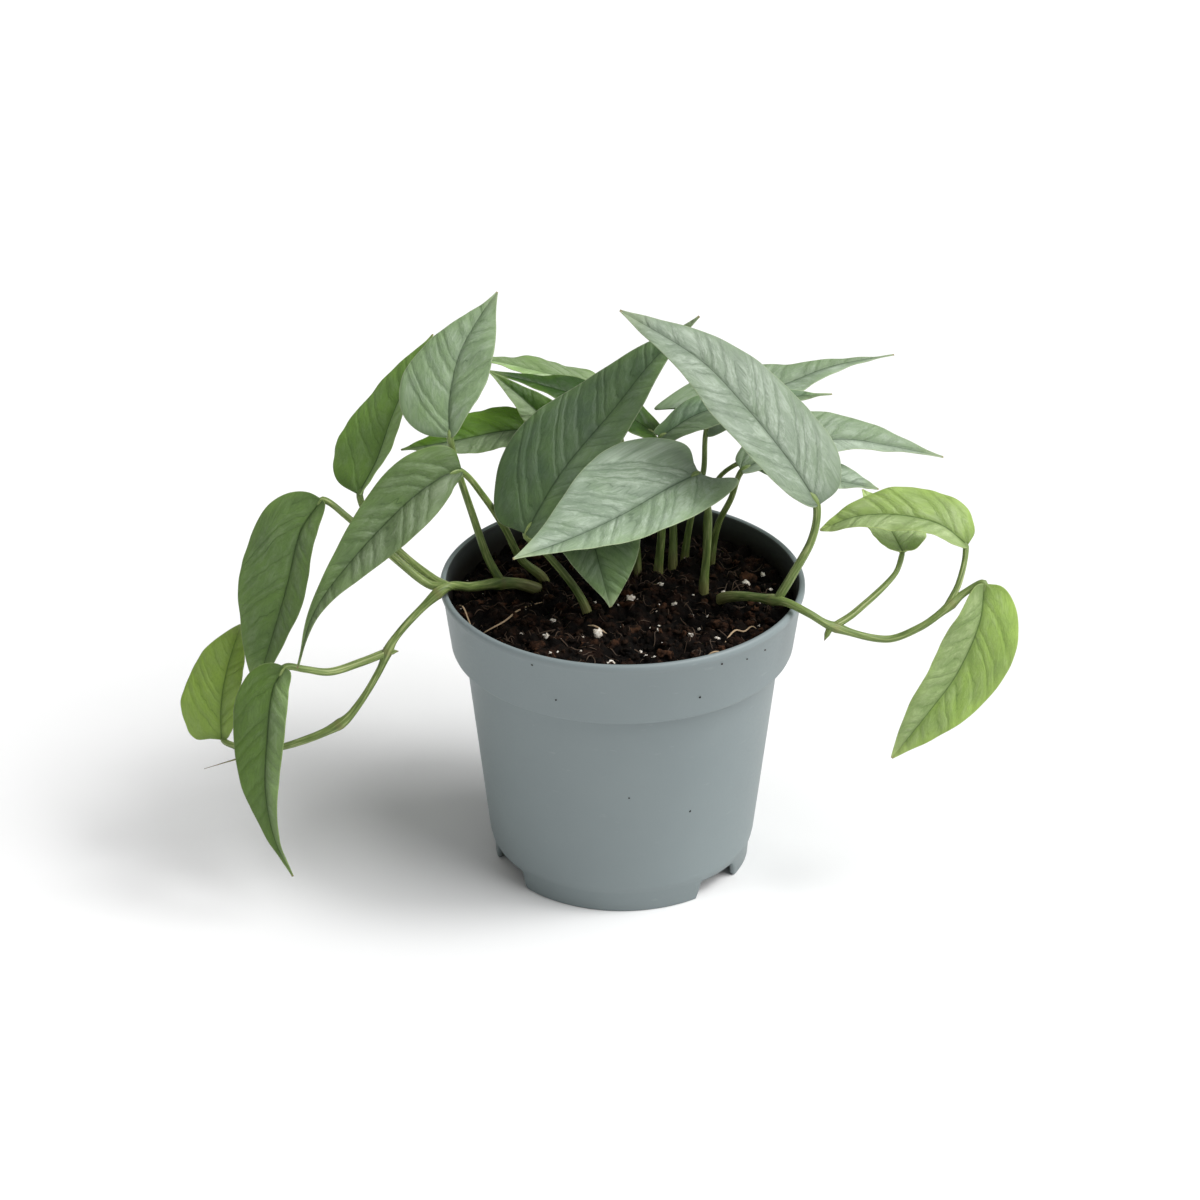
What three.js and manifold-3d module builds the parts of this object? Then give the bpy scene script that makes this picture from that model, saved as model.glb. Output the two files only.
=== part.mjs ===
import * as THREE from "three";
import { mergeVertices } from "three/addons/utils/BufferGeometryUtils.js";
import Module from "manifold-3d";

// A young trailing pothos with narrow silver-green leaves, in a 12 cm round nursery pot.
// Millimetres, +Z up. The tables below are measured from the pot's own axis on the floor:
// x to the right, y away from the front, z up. One shift at the end moves the whole part so
// that the middle of its footprint is the origin.

const wasm = await Module();
wasm.setup();

// ---------------------------------------------------------------- real sizes, in mm
const RIM_RADIUS = 60;
const POT_HEIGHT = 102;
const POT_SIDES = 40;
const FOOT_RADIUS = 42.8;
const FOOT_HEIGHT = 7;
const NOTCH_HEIGHT = 6;
const NOTCH_DEPTH = 12; // right through the foot's ring
const WALL = 1.4;
const BASE_TOP = 8.6;
const DRAIN_RADIUS = 4;
const DRAIN_RING = 24;
const GAP = 0.35; // clear space between two neighbouring nodes
const SOIL_LEVEL = 93;
const BLADE = 0.7; // thickness of a leaf at its margin
const RIB_EXTRA = 0.6; // how much thicker it is under the midrib
const SHIFT = [9, -5.4, 0]; // pot axis as measured from the middle of the whole footprint

// ---------------------------------------------------------------- materials, one per record slot
function material(name, colour, roughness) {
  const made = new THREE.MeshStandardMaterial({ color: colour, roughness, metalness: 0 });
  made.name = name;
  return made;
}
const MATERIALS = {
  pot: material("pot", 0x7b8788, 0.5),
  soil: material("soil", 0x1f1610, 0.95),
  stem: material("stem", 0x6f8a4a, 0.5),
  leaf_silver: material("leaf_silver", 0x86a083, 0.45),
  leaf_green: material("leaf_green", 0x5f7f45, 0.45),
  leaf_young: material("leaf_young", 0x8fae5c, 0.4),
};

// ---------------------------------------------------------------- small vector helpers
const vec = (p) => new THREE.Vector3(p[0], p[1], p[2]);

// The value a share t of the way along a list of values at even steps.
function valueAlong(values, t) {
  const at = t * (values.length - 1);
  const k = Math.min(values.length - 2, Math.floor(at));
  return values[k] + (values[k + 1] - values[k]) * (at - k);
}

// The point a share t of the way along a smooth curve through all the given points.
function pointAlong(points, t) {
  const knots = points.map(vec);
  const run = [0];
  for (let i = 1; i < knots.length; i++) {
    run.push(run[i - 1] + knots[i].distanceTo(knots[i - 1]));
  }
  const last = knots.length - 1;
  const at = Math.min(1, Math.max(0, t)) * run[last];
  let k = 0;
  while (k < last - 1 && at > run[k + 1]) k++;
  const span = run[k + 1] - run[k];
  const f = (at - run[k]) / span;
  const from = knots[k];
  const to = knots[k + 1];
  const before = k > 0 ? knots[k - 1] : from.clone().multiplyScalar(2).sub(to);
  const after = k + 2 <= last ? knots[k + 2] : to.clone().multiplyScalar(2).sub(from);
  const spanBefore = k > 0 ? run[k] - run[k - 1] : span;
  const spanAfter = k + 2 <= last ? run[k + 2] - run[k + 1] : span;
  const leave = to.clone().sub(before).multiplyScalar(span / (spanBefore + span));
  const arrive = after.clone().sub(from).multiplyScalar(span / (span + spanAfter));
  const f2 = f * f;
  const f3 = f2 * f;
  return from
    .clone()
    .multiplyScalar(2 * f3 - 3 * f2 + 1)
    .addScaledVector(leave, f3 - 2 * f2 + f)
    .addScaledVector(to, 3 * f2 - 2 * f3)
    .addScaledVector(arrive, f3 - f2);
}

function directionAlong(points, t) {
  const ahead = pointAlong(points, Math.min(1, t + 0.01));
  return ahead.sub(pointAlong(points, Math.max(0, t - 0.01))).normalize();
}

function lengthOf(points) {
  let total = 0;
  for (let i = 1; i < points.length; i++) {
    total += vec(points[i]).distanceTo(vec(points[i - 1]));
  }
  return total;
}

// ---------------------------------------------------------------- closed bodies
// A closed geometry as a solid that can be joined to others and cut.
function solidFrom(geometry) {
  const bare = geometry.clone();
  bare.deleteAttribute("normal");
  bare.deleteAttribute("uv");
  const merged = mergeVertices(bare, 1e-4);
  return new wasm.Manifold(
    new wasm.Mesh({
      numProp: 3,
      vertProperties: merged.getAttribute("position").array,
      triVerts: new Uint32Array(merged.index.array),
    }),
  );
}

function skin(vertices, triangles) {
  const geometry = new THREE.BufferGeometry();
  geometry.setAttribute("position", new THREE.Float32BufferAttribute(vertices.flat(), 3));
  geometry.setIndex(triangles.flat());
  return geometry;
}

// Skins a row of rings, each with the same even number of points, and closes both ends.
// The first half of a ring is one face and the second half comes back along the other, and the
// diagonals of the second half mirror those of the first.
function loft(rings) {
  const n = rings[0].length;
  const half = n / 2;
  const triangles = [];
  for (let r = 0; r + 1 < rings.length; r++) {
    for (let j = 0; j < n; j++) {
      const a = r * n + j;
      const b = r * n + ((j + 1) % n);
      const c = b + n;
      const d = a + n;
      if (j < half) triangles.push([a, b, c], [a, c, d]);
      else triangles.push([a, b, d], [b, c, d]);
    }
  }
  const end = (rings.length - 1) * n;
  for (let i = 0; i + 1 < half; i++) {
    const across = n - 1 - i;
    triangles.push([i, across, i + 1], [across, across - 1, i + 1]);
    triangles.push([end + i, end + i + 1, end + across], [end + across, end + i + 1, end + across - 1]);
  }
  return solidFrom(skin(rings.flat(), triangles));
}

// ---------------------------------------------------------------- leaves
// rib: points the midrib passes through, from the leaf's base to its tip.
// face: the way the upper side looks. half: greatest half width on the left and right of the
// midrib, seen from above and looking to the tip. lobe: how far each base lobe reaches back,
// furthest at the share lobeAt of the midrib.
// form: the two powers of each half's outline, left and right; a greater second one gives a
// longer, finer tip.
const PLAIN_FORM = [[0.62, 1.4], [0.62, 1.4]];
const LEAVES = {
  leaf_01: {
    slot: "leaf_young",
    rib: [[-133, -15, 49.5], [-132.8, -13, 61], [-130.8, -8, 72], [-126, -2, 86]],
    face: [-0.4, -0.9, 0.1], half: [13.6, 6.3], lobe: [4, 0.5], lobeAt: 0.1, form: [[0.42, 0.9], [0.8, 1]],
  },
  leaf_02: {
    slot: "leaf_green",
    rib: [[-98, 0, 131], [-105, -3, 121], [-109.5, -9, 104.5], [-114.5, -14, 88.5], [-120, -20, 72]],
    face: [-0.4, -0.85, 0.4], half: [6.5, 17], lobe: [0.5, 0.5], form: [[0.7, 0.9], [0.62, 0.9]],
  },
  leaf_03: {
    slot: "leaf_green",
    rib: [
      [-52, -3, 143], [-58.5, -7, 142.5], [-70, -14, 136.3], [-87.5, -26, 121.5], [-99, -35, 108],
      [-104.5, -42, 91.5],
    ],
    face: [-0.3, -0.9, 0.35], half: [9.4, 11.3], lobe: [0.5, 1],
    form: [[1, 2.3], [0.5, 2.1]], fold: 0.25,
  },
  leaf_04: {
    slot: "leaf_green",
    rib: [
      [-109, -35, 88], [-113, -38, 81.5], [-115, -43, 66.5], [-116, -47, 49], [-113.5, -49, 31.5],
      [-108, -50, 18],
    ],
    face: [-0.2, -0.98, 0.2], half: [5.5, 11], lobe: [0.5, 0.5],
    form: [[0.55, 1.5], [0.65, 1.9]], fold: 0.3,
  },
  leaf_05: {
    slot: "leaf_green",
    rib: [[-87, 12, 127], [-81, 18, 136.5], [-76, 26, 148.5], [-70, 34, 160], [-62.5, 40, 172]],
    face: [-0.6, -0.7, 0.4], half: [16.5, 4.4], lobe: [0.5, 0.3],
    form: [[0.42, 1.35], [1.3, 1.1]], fold: 0.25,
  },
  leaf_06: {
    slot: "leaf_silver",
    rib: [[-56, -1, 154], [-56, 6, 164], [-53, 18, 174.5], [-47, 30, 182], [-41, 38, 188]],
    face: [-0.15, -0.75, 0.65], half: [16, 11], lobe: [0.5, 0.5], form: [[0.6, 1.7], [1, 1.2]],
  },
  leaf_07: {
    slot: "leaf_green",
    rib: [[-28, 37, 139], [-40, 33, 140], [-55, 28, 139], [-73, 23, 138]],
    face: [0, -0.4, 0.9], half: [7.5, 10], lobe: [2, 2],
  },
  leaf_08: {
    slot: "leaf_green",
    rib: [[-4, 60, 142], [-21, 59, 148], [-40, 57, 154], [-52, 55, 157]],
    face: [0, 0.03, 0.99], half: [10, 11], lobe: [4, 4],
  },
  leaf_09: {
    slot: "leaf_green",
    rib: [[11, 42, 135], [-4, 42, 145], [-26, 41, 153], [-45, 40, 159]],
    face: [0, -0.2, 0.98], half: [7, 9], lobe: [4, 4],
  },
  leaf_10: {
    slot: "leaf_silver",
    rib: [[-32, -3, 120], [-20, 6, 138], [-3, 18, 155], [10, 26, 169], [25, 32, 182]],
    face: [-0.4, -0.8, 0.45], half: [20.5, 10], lobe: [3, 3],
    form: [[0.5, 1.45], [0.62, 1.4]], fold: 0.15,
  },
  leaf_11: {
    slot: "leaf_silver",
    rib: [[25, 5, 138.5], [13.5, -6, 137.5], [-0.5, -17, 134], [-18, -28, 130.5], [-35, -37, 128.5]],
    face: [0.1, -0.5, 0.85], half: [12.3, 22.5], lobe: [13, 6.5], lobeAt: 0.04,
    form: [[0.42, 1.5], [0.55, 1.3]], fold: 0.15,
  },
  leaf_12: {
    slot: "leaf_silver",
    rib: [[12, 21, 143.5], [25.5, 25, 150.5], [45, 28, 154], [69, 30, 155]],
    face: [0, -0.3, 0.95], half: [6.5, 7], lobe: [2, 2],
  },
  leaf_13: {
    slot: "leaf_silver",
    rib: [[63, -15, 136.5], [53.5, -9, 149.5], [39, 0, 165], [24.5, 7, 178], [-1, 14, 192]],
    face: [0.45, -0.65, 0.6], half: [11.5, 17.3], lobe: [0.5, 1], form: [[0.7, 1.1], [0.4, 1.15]],
  },
  leaf_14: {
    slot: "leaf_silver",
    rib: [[28, 33, 142], [41, 42, 147], [57, 52, 149.5], [71, 60, 151.5], [92, 68, 152]],
    face: [0, -0.35, 0.93], half: [17, 8], lobe: [12.5, 6], lobeAt: 0.05,
    form: [[0.25, 2.2], [0.62, 1.8]], fold: 0.3,
  },
  leaf_15: {
    slot: "leaf_silver",
    rib: [[39, 18, 133], [55, 23, 139], [72, 27, 140], [87, 31, 136], [107, 34, 130]],
    face: [0.1, -0.5, 0.85], half: [10.6, 5.3], lobe: [1.5, 1], form: [[0.62, 1.4], [0.9, 1.9]], fold: 0.25,
  },
  leaf_16: {
    slot: "leaf_silver",
    rib: [[39.5, 29, 131.5], [55, 24, 131], [72, 18, 129], [84, 12, 129]],
    face: [0.1, -0.2, 0.97], half: [10, 7], lobe: [1, 1], form: [[0.75, 1.1], [1, 1.6]],
  },
  leaf_17: {
    slot: "leaf_young",
    rib: [[112, -10, 119.5], [103, -9, 126.5], [90, -7, 129], [76, -6, 128], [64, -6, 123]],
    face: [0, -0.45, 0.9], half: [6, 11], lobe: [0.5, 1], form: [[0.8, 0.85], [0.5, 1.1]], fold: 0.25,
  },
  leaf_18: {
    slot: "leaf_young",
    rib: [[91, -8, 116.5], [88.5, 4, 117], [84.5, 18, 118.5], [80, 28, 121]],
    face: [0.1, -0.2, 0.97], half: [7, 10.5], lobe: [1, 1], form: [[0.85, 1.3], [0.7, 1.3]],
  },
  leaf_19: {
    slot: "leaf_young",
    rib: [[117, -20, 110.5], [115.5, -24, 98], [108.5, -28, 81.5], [99.5, -32, 69.5], [88, -34, 53.5]],
    face: [0.25, -0.9, 0.35], half: [14.2, 9.2], lobe: [1, 0.5], form: [[0.55, 1.05], [0.65, 0.95]],
  },
  leaf_20: {
    slot: "leaf_silver",
    rib: [[-12, 6, 126], [-10, -6, 121], [-7, -16, 113], [-4, -22, 103]],
    face: [0.1, -0.75, 0.65], half: [15, 11.4], lobe: [2, 2], form: [[0.6, 1], [0.62, 1.4]],
  },
  leaf_21: {
    slot: "leaf_green",
    rib: [[-11, 26, 129], [-20, 29, 140], [-32, 31, 152], [-44, 33, 162]],
    face: [0.2, -0.7, 0.7], half: [7, 7], lobe: [4, 4],
  },
};

const PLAIN_FOLD = 0.2; // how steeply each half rises from the midrib, in radians
const BEND_BACK = 0.15; // how much a half curves back down towards its margin
const WAVE_HEIGHT = 0.8; // the margin's waves, and how many radians of them run along a leaf
const WAVE_RUN = 14.5;
const LOBE_AT = 0.03; // share of the midrib where a base lobe reaches back furthest
const LOBE_BEND = 2.5; // the lobe's reach grows with this power of the way out to the margin
const BASE_WIDE = 1.1; // half width where the leaf joins its stalk, and at its blunt tip
const TIP_WIDE = 0.3;

// Half width at a share t of the midrib, as a share of the greatest half width.
function outline(t, [rise, fall]) {
  const peak = rise / (rise + fall);
  const top = Math.pow(peak, rise) * Math.pow(1 - peak, fall);
  return (Math.pow(t, rise) * Math.pow(1 - t, fall)) / top;
}

// A point of the upper side: t from base to tip, u from -1 at the left margin to 1 at the right.
function leafPoint(leaf, t, u, depth) {
  const rib = pointAlong(leaf.rib, t);
  const ahead = directionAlong(leaf.rib, t);
  const face = vec(leaf.face).normalize();
  const side = ahead.clone().cross(face).normalize();
  const normal = side.clone().cross(ahead);
  const right = u > 0 ? 1 : 0;
  const fold = leaf.fold ?? PLAIN_FOLD;
  const full = leaf.half[right] * outline(t, (leaf.form ?? PLAIN_FORM)[right]);
  const wide = full + BASE_WIDE * (1 - t) + TIP_WIDE * t;
  const early = t / (leaf.lobeAt ?? LOBE_AT);
  const back = leaf.lobe[right] * early * Math.exp(1 - early) * Math.pow(Math.abs(u), LOBE_BEND);
  const ripple = WAVE_HEIGHT * Math.sin(WAVE_RUN * t) * Math.min(1, full / leaf.half[right]);
  const lift = wide * (fold * Math.abs(u) - BEND_BACK * u * u) + ripple * u * Math.abs(u);
  return rib
    .addScaledVector(side, u * wide * Math.cos(fold))
    .addScaledVector(normal, lift - depth)
    .addScaledVector(ahead, -back);
}

const LEAF_STATIONS = [0, 0.012, 0.03, 0.06, 0.11, 0.18, 0.28, 0.4, 0.54, 0.68, 0.82, 0.93, 1];
const LEAF_COLUMNS = [-1, -0.6, -0.25, 0, 0.25, 0.6, 1];
function leafSolid(leaf) {
  const rings = LEAF_STATIONS.map((t) => {
    const upper = LEAF_COLUMNS.map((u) => leafPoint(leaf, t, u, 0).toArray());
    const lower = LEAF_COLUMNS.map((u) => {
      const thick = BLADE + RIB_EXTRA * Math.pow(1 - Math.abs(u), 3) * (1 - 0.7 * t);
      return leafPoint(leaf, t, u, thick).toArray();
    });
    return [...upper, ...lower.reverse()];
  });
  return loft(rings);
}

// ---------------------------------------------------------------- stems
// path: points the stem passes through. radius: at even steps from its start to its end.
// up: a direction the path never runs along; the stalk's groove lies on that side.
// knots: shares of the path where a vine swells at a leaf joint. short: how much of its end is
// left off, so that it stops just short of its leaf.
const STEMS = {
  vine_left: {
    path: [
      [-20, 10, 82], [-25, 11, 90], [-33, 10, 94.5], [-41, 7, 96.5], [-50, -3, 100.5], [-57, -12, 105.2],
      [-64, -16, 101], [-74.5, -20, 90], [-79.5, -22, 79.5], [-86, -24.5, 69], [-92, -26, 62.3],
      [-105, -26.5, 55.8], [-128, -21, 45.5], [-139, -16, 39],
    ],
    radius: [1.9, 1.7, 1.25, 1.15, 2, 0.6], short: 0, knots: [0.16, 0.35, 0.5, 0.68], sides: 8,
    up: [0.5, 0.8, 0],
  },
  stalk_06: {
    path: [[-40, 7.5, 96.5], [-44.5, 9, 105], [-49.5, 9.5, 121.5], [-53.5, 6, 138], [-56, -1, 154]],
    radius: [1.4, 1], short: 2.5, up: [0, 1, 0.2],
  },
  stalk_05: {
    path: [[-57, -12, 105.2], [-62, -7, 105.5], [-72, 1, 110], [-83, 9, 119], [-87, 12, 127]],
    radius: [1.4, 1], short: 3, up: [0.3, 1, 0],
  },
  stalk_02: {
    path: [[-57, -12, 105.2], [-63, -10.5, 105.2], [-72, -8, 111.5], [-90, -2, 126], [-98, 0, 131]],
    radius: [1.4, 1], short: 5.6, up: [0, 1, 0],
  },
  stalk_04: {
    path: [
      [-77.5, -21, 85.5], [-85, -23.5, 83.5], [-95, -28, 82.4], [-103, -32, 85.7], [-109, -35, 87.5],
    ],
    radius: [1.3, 1.1], short: 3.5, up: [0, 0, 1],
  },
  stalk_01: {
    path: [[-124, -22, 47.3], [-127.5, -20, 49.5], [-131, -17, 49.5], [-133, -15, 49.5]],
    radius: [1, 0.9], short: 6.2, up: [0, 1, 0],
  },
  stub_left: {
    path: [[-77, -21, 85.5], [-75, -21.2, 86.2], [-73, -21.2, 86.4]],
    radius: [1.1, 0.7], up: [0, 1, 0],
  },
  stalk_03: {
    path: [
      [-25, 17, 84], [-26, 16, 93], [-33.5, 13.5, 102], [-38.5, 11.5, 114.2], [-45.3, 7, 128.4],
      [-52, -3, 143],
    ],
    radius: [1.4, 1], short: 5.4, up: [0, 1, 0],
  },
  stalk_10: {
    path: [[-10, -7, 84], [-12, -7, 94.5], [-16.5, -7, 103.5], [-27, -6, 117], [-32, -3, 120]],
    radius: [1.4, 1.1], short: 6, up: [0, 1, 0],
  },
  stalk_11: {
    path: [[27, 8, 84], [27, 8, 95], [28, 9, 110], [28, 9, 123], [25, 5, 138.5]],
    radius: [1.5, 1.1], up: [0, 1, 0],
  },
  stalk_15: {
    path: [[29, 27, 84], [30, 27, 96], [32, 24, 110], [36, 21, 121], [39, 18, 133]],
    radius: [1.3, 0.9], up: [0, 1, 0],
  },
  stalk_14: {
    path: [[21, 29, 84], [21, 29, 94], [23, 30, 109], [27, 31, 126], [28, 33, 142]],
    radius: [1.3, 0.8], up: [0, 1, 0],
  },
  stalk_12: {
    path: [[12, 20, 84], [12, 20, 94], [13, 19, 109], [13, 20, 130], [12, 21, 143.5]],
    radius: [1.5, 1.1], up: [0, 1, 0],
  },
  stalk_20: {
    path: [[5, 20, 84], [5, 20, 95], [4, 18, 107], [-4, 13, 121], [-12, 6, 126]],
    radius: [1.4, 1.1], short: 4, up: [0, 1, 0],
  },
  stalk_09: {
    path: [[17, 27, 84], [17, 27, 93], [17, 32, 106], [14, 38, 120], [11, 42, 135]],
    radius: [1.4, 1.1], short: 2.6, up: [0, 1, 0],
  },
  stalk_08: {
    path: [[3, 32, 84], [3, 32, 94], [3, 38, 108], [0, 49, 126], [-4, 60, 142]],
    radius: [1.4, 1.1], short: 3, up: [0, 1, 0],
  },
  stalk_07: {
    path: [[-14, 26, 84], [-15, 26, 94], [-18, 29, 110], [-24, 33, 126], [-28, 37, 139]],
    radius: [1.4, 1.1], short: 3.2, up: [0, 1, 0],
  },
  stalk_21: {
    path: [[-4, 24, 84], [-5, 24, 94], [-8, 24, 106], [-10, 25, 118], [-11, 26, 129]],
    radius: [1.4, 1.1], short: 3.4, up: [0, 1, 0],
  },
  stalk_16: {
    path: [[28.5, 37, 84], [28.5, 37, 94], [28.5, 36, 108], [32, 33.5, 122], [39.5, 29, 131.5]],
    radius: [1.1, 0.7], up: [0, 1, 0],
  },
  vine_right: {
    path: [
      [31, 6, 83], [32, 2.5, 92.5], [39, -4.5, 97.8], [49, -17, 103], [53.5, -22.5, 104.8],
      [60, -27, 103.4], [67, -28, 99.5], [85, -27, 94], [96, -25.5, 97.5], [104.5, -22.5, 102.7],
      [110, -19.5, 106.5], [117, -20, 110.5],
    ],
    radius: [1.8, 1.5, 1.2, 1.2, 1.1], short: 4, knots: [0.31, 0.52, 0.86], sides: 8, up: [0.3, 1, 0],
  },
  stalk_13: {
    path: [[50, -18, 103.4], [55, -18, 113], [61, -16, 125], [63, -15, 136.5]],
    radius: [1.5, 1.2], short: 2.6, up: [0, 1, 0],
  },
  stalk_18: {
    path: [[68, -28, 99], [75, -24, 102], [88, -14, 110.5], [91, -8, 116.5]],
    radius: [1.15, 0.8], up: [0, 0, 1],
  },
  stalk_17: {
    path: [[104.5, -22.5, 102.7], [109, -17, 109.5], [112, -10, 119.5]],
    radius: [1.2, 0.9], short: 4.6, up: [1, 0, 0],
  },
  stub_right: {
    path: [[67, -28, 99.2], [65.8, -29.3, 96.8], [65, -30.2, 95.2]],
    radius: [1.2, 0.7], up: [0, 0, 1],
  },
};

const SHORT_OF_LEAF = 2;
const STEM_STEP = 8; // one ring about every 8 mm
const RUNNER_STEP = 7;
const KNOT_SWELL = 0.5; // how far a leaf joint stands out of its runner, and over what length
const KNOT_LENGTH = 3.5;
function stemSolid(stem, extra) {
  const sides = stem.sides ?? 6;
  const length = lengthOf(stem.path);
  const stop = 1 - (stem.short ?? SHORT_OF_LEAF) / length;
  const count = Math.max(3, Math.ceil(length / (stem.knots ? RUNNER_STEP : STEM_STEP)));
  const rings = [];
  for (let i = 0; i <= count; i++) {
    const t = (stop * i) / count;
    const centre = pointAlong(stem.path, t);
    const ahead = directionAlong(stem.path, t);
    if (i === 0) centre.addScaledVector(ahead, -extra);
    if (i === count) centre.addScaledVector(ahead, extra);
    const across = vec(stem.up).cross(ahead).normalize();
    const over = ahead.clone().cross(across);
    let radius = valueAlong(stem.radius, t) + extra;
    for (const knot of stem.knots ?? []) {
      radius += KNOT_SWELL * Math.exp(-Math.pow(((t - knot) * length) / KNOT_LENGTH, 2));
    }
    const ring = [];
    for (let s = 0; s < sides; s++) {
      const angle = (2 * Math.PI * (s + 0.5)) / sides;
      const out = across.clone().multiplyScalar(Math.cos(angle)).addScaledVector(over, Math.sin(angle));
      ring.push(centre.clone().addScaledVector(out, radius).toArray());
    }
    rings.push(ring);
  }
  return loft(rings);
}

function joined(names) {
  return names.map((name) => stemSolid(STEMS[name], 0)).reduce((whole, more) => whole.add(more));
}

const LEFT_RUNNER = ["vine_left", "stalk_06", "stalk_05", "stalk_02", "stalk_04", "stalk_01", "stub_left"];
const RIGHT_RUNNER = ["vine_right", "stalk_13", "stalk_18", "stalk_17", "stub_right"];
const SINGLE_STALKS = [
  "stalk_03", "stalk_07", "stalk_08", "stalk_09", "stalk_10", "stalk_11",
  "stalk_12", "stalk_14", "stalk_15", "stalk_16", "stalk_20", "stalk_21",
];

// ---------------------------------------------------------------- pot
// Profiles are [radius, height]. The foot is a ring: the base inside it is raised off the ground.
const POT_OUTSIDE = [
  [0, FOOT_HEIGHT], [FOOT_RADIUS - WALL, FOOT_HEIGHT], [FOOT_RADIUS - WALL, 0],
  [FOOT_RADIUS, 0], [FOOT_RADIUS + 0.4, FOOT_HEIGHT], [44.1, 8.2], [44.6, 10.5], [52.1, 77],
  [55.6, 78.6], [56.6, 79.8], [59.2, 99], [60, 100], [RIM_RADIUS, 101.4], [59.4, POT_HEIGHT],
];
const POT_INSIDE = [
  [58.4, POT_HEIGHT], [58, 101.4], [57.6, 98], [55.3, 80.6], [54.6, 79.8], [50.7, 78], [43.2, 11],
  [41.8, BASE_TOP], [0, BASE_TOP],
];
const NOTCHES = [
  { middle: -41.5, width: 25 },
  { middle: -153, width: 28 },
  { middle: 82, width: 26 },
]; // degrees round from +X

function potSolid() {
  const profile = [...POT_OUTSIDE, ...POT_INSIDE].map((point) => new THREE.Vector2(...point));
  let pot = solidFrom(new THREE.LatheGeometry(profile, POT_SIDES).rotateX(Math.PI / 2));
  for (const notch of NOTCHES) {
    const wide = 2 * FOOT_RADIUS * Math.sin((notch.width * Math.PI) / 360);
    const block = new THREE.BoxGeometry(NOTCH_DEPTH, wide, NOTCH_HEIGHT + 1);
    block.translate(FOOT_RADIUS, 0, (NOTCH_HEIGHT - 1) / 2).rotateZ((notch.middle * Math.PI) / 180);
    pot = pot.subtract(solidFrom(block));
  }
  const drain = new THREE.CylinderGeometry(DRAIN_RADIUS, DRAIN_RADIUS, BASE_TOP, 16);
  drain.rotateX(Math.PI / 2).translate(0, 0, BASE_TOP);
  pot = pot.subtract(solidFrom(drain));
  for (const notch of NOTCHES) {
    const hole = drain.clone().translate(DRAIN_RING, 0, 0).rotateZ((notch.middle * Math.PI) / 180);
    pot = pot.subtract(solidFrom(hole));
  }
  return pot;
}

// ---------------------------------------------------------------- soil
// Small mounds and hollows of the potting mix.
function soilHeight(x, y) {
  const broad = 0.9 * Math.sin(0.11 * x + 0.4) * Math.cos(0.09 * y - 0.3);
  const lumps = 0.7 * Math.sin(0.31 * x - 0.12 * y + 1.1) * Math.sin(0.27 * y + 0.16 * x);
  return SOIL_LEVEL + broad + lumps;
}

// The side of the soil follows the inside of the pot: [radius, height] from the bottom up.
const SOIL_WALL = [[40.8, BASE_TOP + GAP], [42.6, 12], [50.1, 78], [54.1, 80.2], [54.9, 81]];
const SOIL_RINGS = [56.3, 49, 41, 33, 25, 17, 9];
function soilSolid() {
  const vertices = [[0, 0, BASE_TOP + GAP]];
  const triangles = [];
  const rows = [];
  const addRow = (radius, heightAt) => {
    const row = [];
    for (let i = 0; i < POT_SIDES; i++) {
      const angle = (2 * Math.PI * i) / POT_SIDES;
      const x = radius * Math.cos(angle);
      const y = radius * Math.sin(angle);
      row.push(vertices.length);
      vertices.push([x, y, heightAt(x, y)]);
    }
    rows.push(row);
  };
  SOIL_WALL.forEach(([radius, height]) => addRow(radius, () => height));
  SOIL_RINGS.forEach((radius) => addRow(radius, soilHeight));
  for (let i = 0; i < POT_SIDES; i++) {
    triangles.push([0, rows[0][(i + 1) % POT_SIDES], rows[0][i]]);
  }
  for (let r = 0; r + 1 < rows.length; r++) {
    for (let i = 0; i < POT_SIDES; i++) {
      const next = (i + 1) % POT_SIDES;
      triangles.push([rows[r][i], rows[r][next], rows[r + 1][next]]);
      triangles.push([rows[r][i], rows[r + 1][next], rows[r + 1][i]]);
    }
  }
  const top = vertices.length;
  vertices.push([0, 0, soilHeight(0, 0)]);
  const last = rows[rows.length - 1];
  for (let i = 0; i < POT_SIDES; i++) {
    triangles.push([last[i], last[(i + 1) % POT_SIDES], top]);
  }
  let soil = solidFrom(skin(vertices, triangles));
  for (const name of ["vine_left", "vine_right", ...SINGLE_STALKS]) {
    soil = soil.subtract(stemSolid(STEMS[name], GAP));
  }
  return soil;
}

// ---------------------------------------------------------------- the part
const group = new THREE.Group();
group.name = "cebu_blue_pothos";

function addNode(name, slot, body) {
  const mesh = body.getMesh();
  const positions = new Float32Array(mesh.numVert * 3);
  for (let i = 0; i < mesh.numVert; i++) {
    positions.set(mesh.vertProperties.subarray(i * mesh.numProp, i * mesh.numProp + 3), i * 3);
  }
  const geometry = new THREE.BufferGeometry();
  geometry.setAttribute("position", new THREE.BufferAttribute(positions, 3));
  geometry.setIndex(new THREE.BufferAttribute(new Uint32Array(mesh.triVerts), 1));
  geometry.computeVertexNormals();
  const node = new THREE.Mesh(geometry, MATERIALS[slot]);
  node.name = name;
  node.position.set(SHIFT[0], SHIFT[1], SHIFT[2]);
  group.add(node);
}

addNode("pot", "pot", potSolid());
addNode("soil", "soil", soilSolid());
addNode("vine_left", "stem", joined(LEFT_RUNNER));
addNode("vine_right", "stem", joined(RIGHT_RUNNER));
for (const name of SINGLE_STALKS) addNode(name, "stem", stemSolid(STEMS[name], 0));
for (const [name, leaf] of Object.entries(LEAVES)) addNode(name, leaf.slot, leafSolid(leaf));

export default group;
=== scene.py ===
"""A young cebu blue pothos in its 12 cm nursery pot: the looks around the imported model.

Tables are in millimetres from the pot's own axis on the floor: x to the right, y away from the
front, z up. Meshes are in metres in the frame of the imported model.
"""

import math
import random

import bpy
import numpy as np
from mathutils import Matrix, Vector, noise


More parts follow.
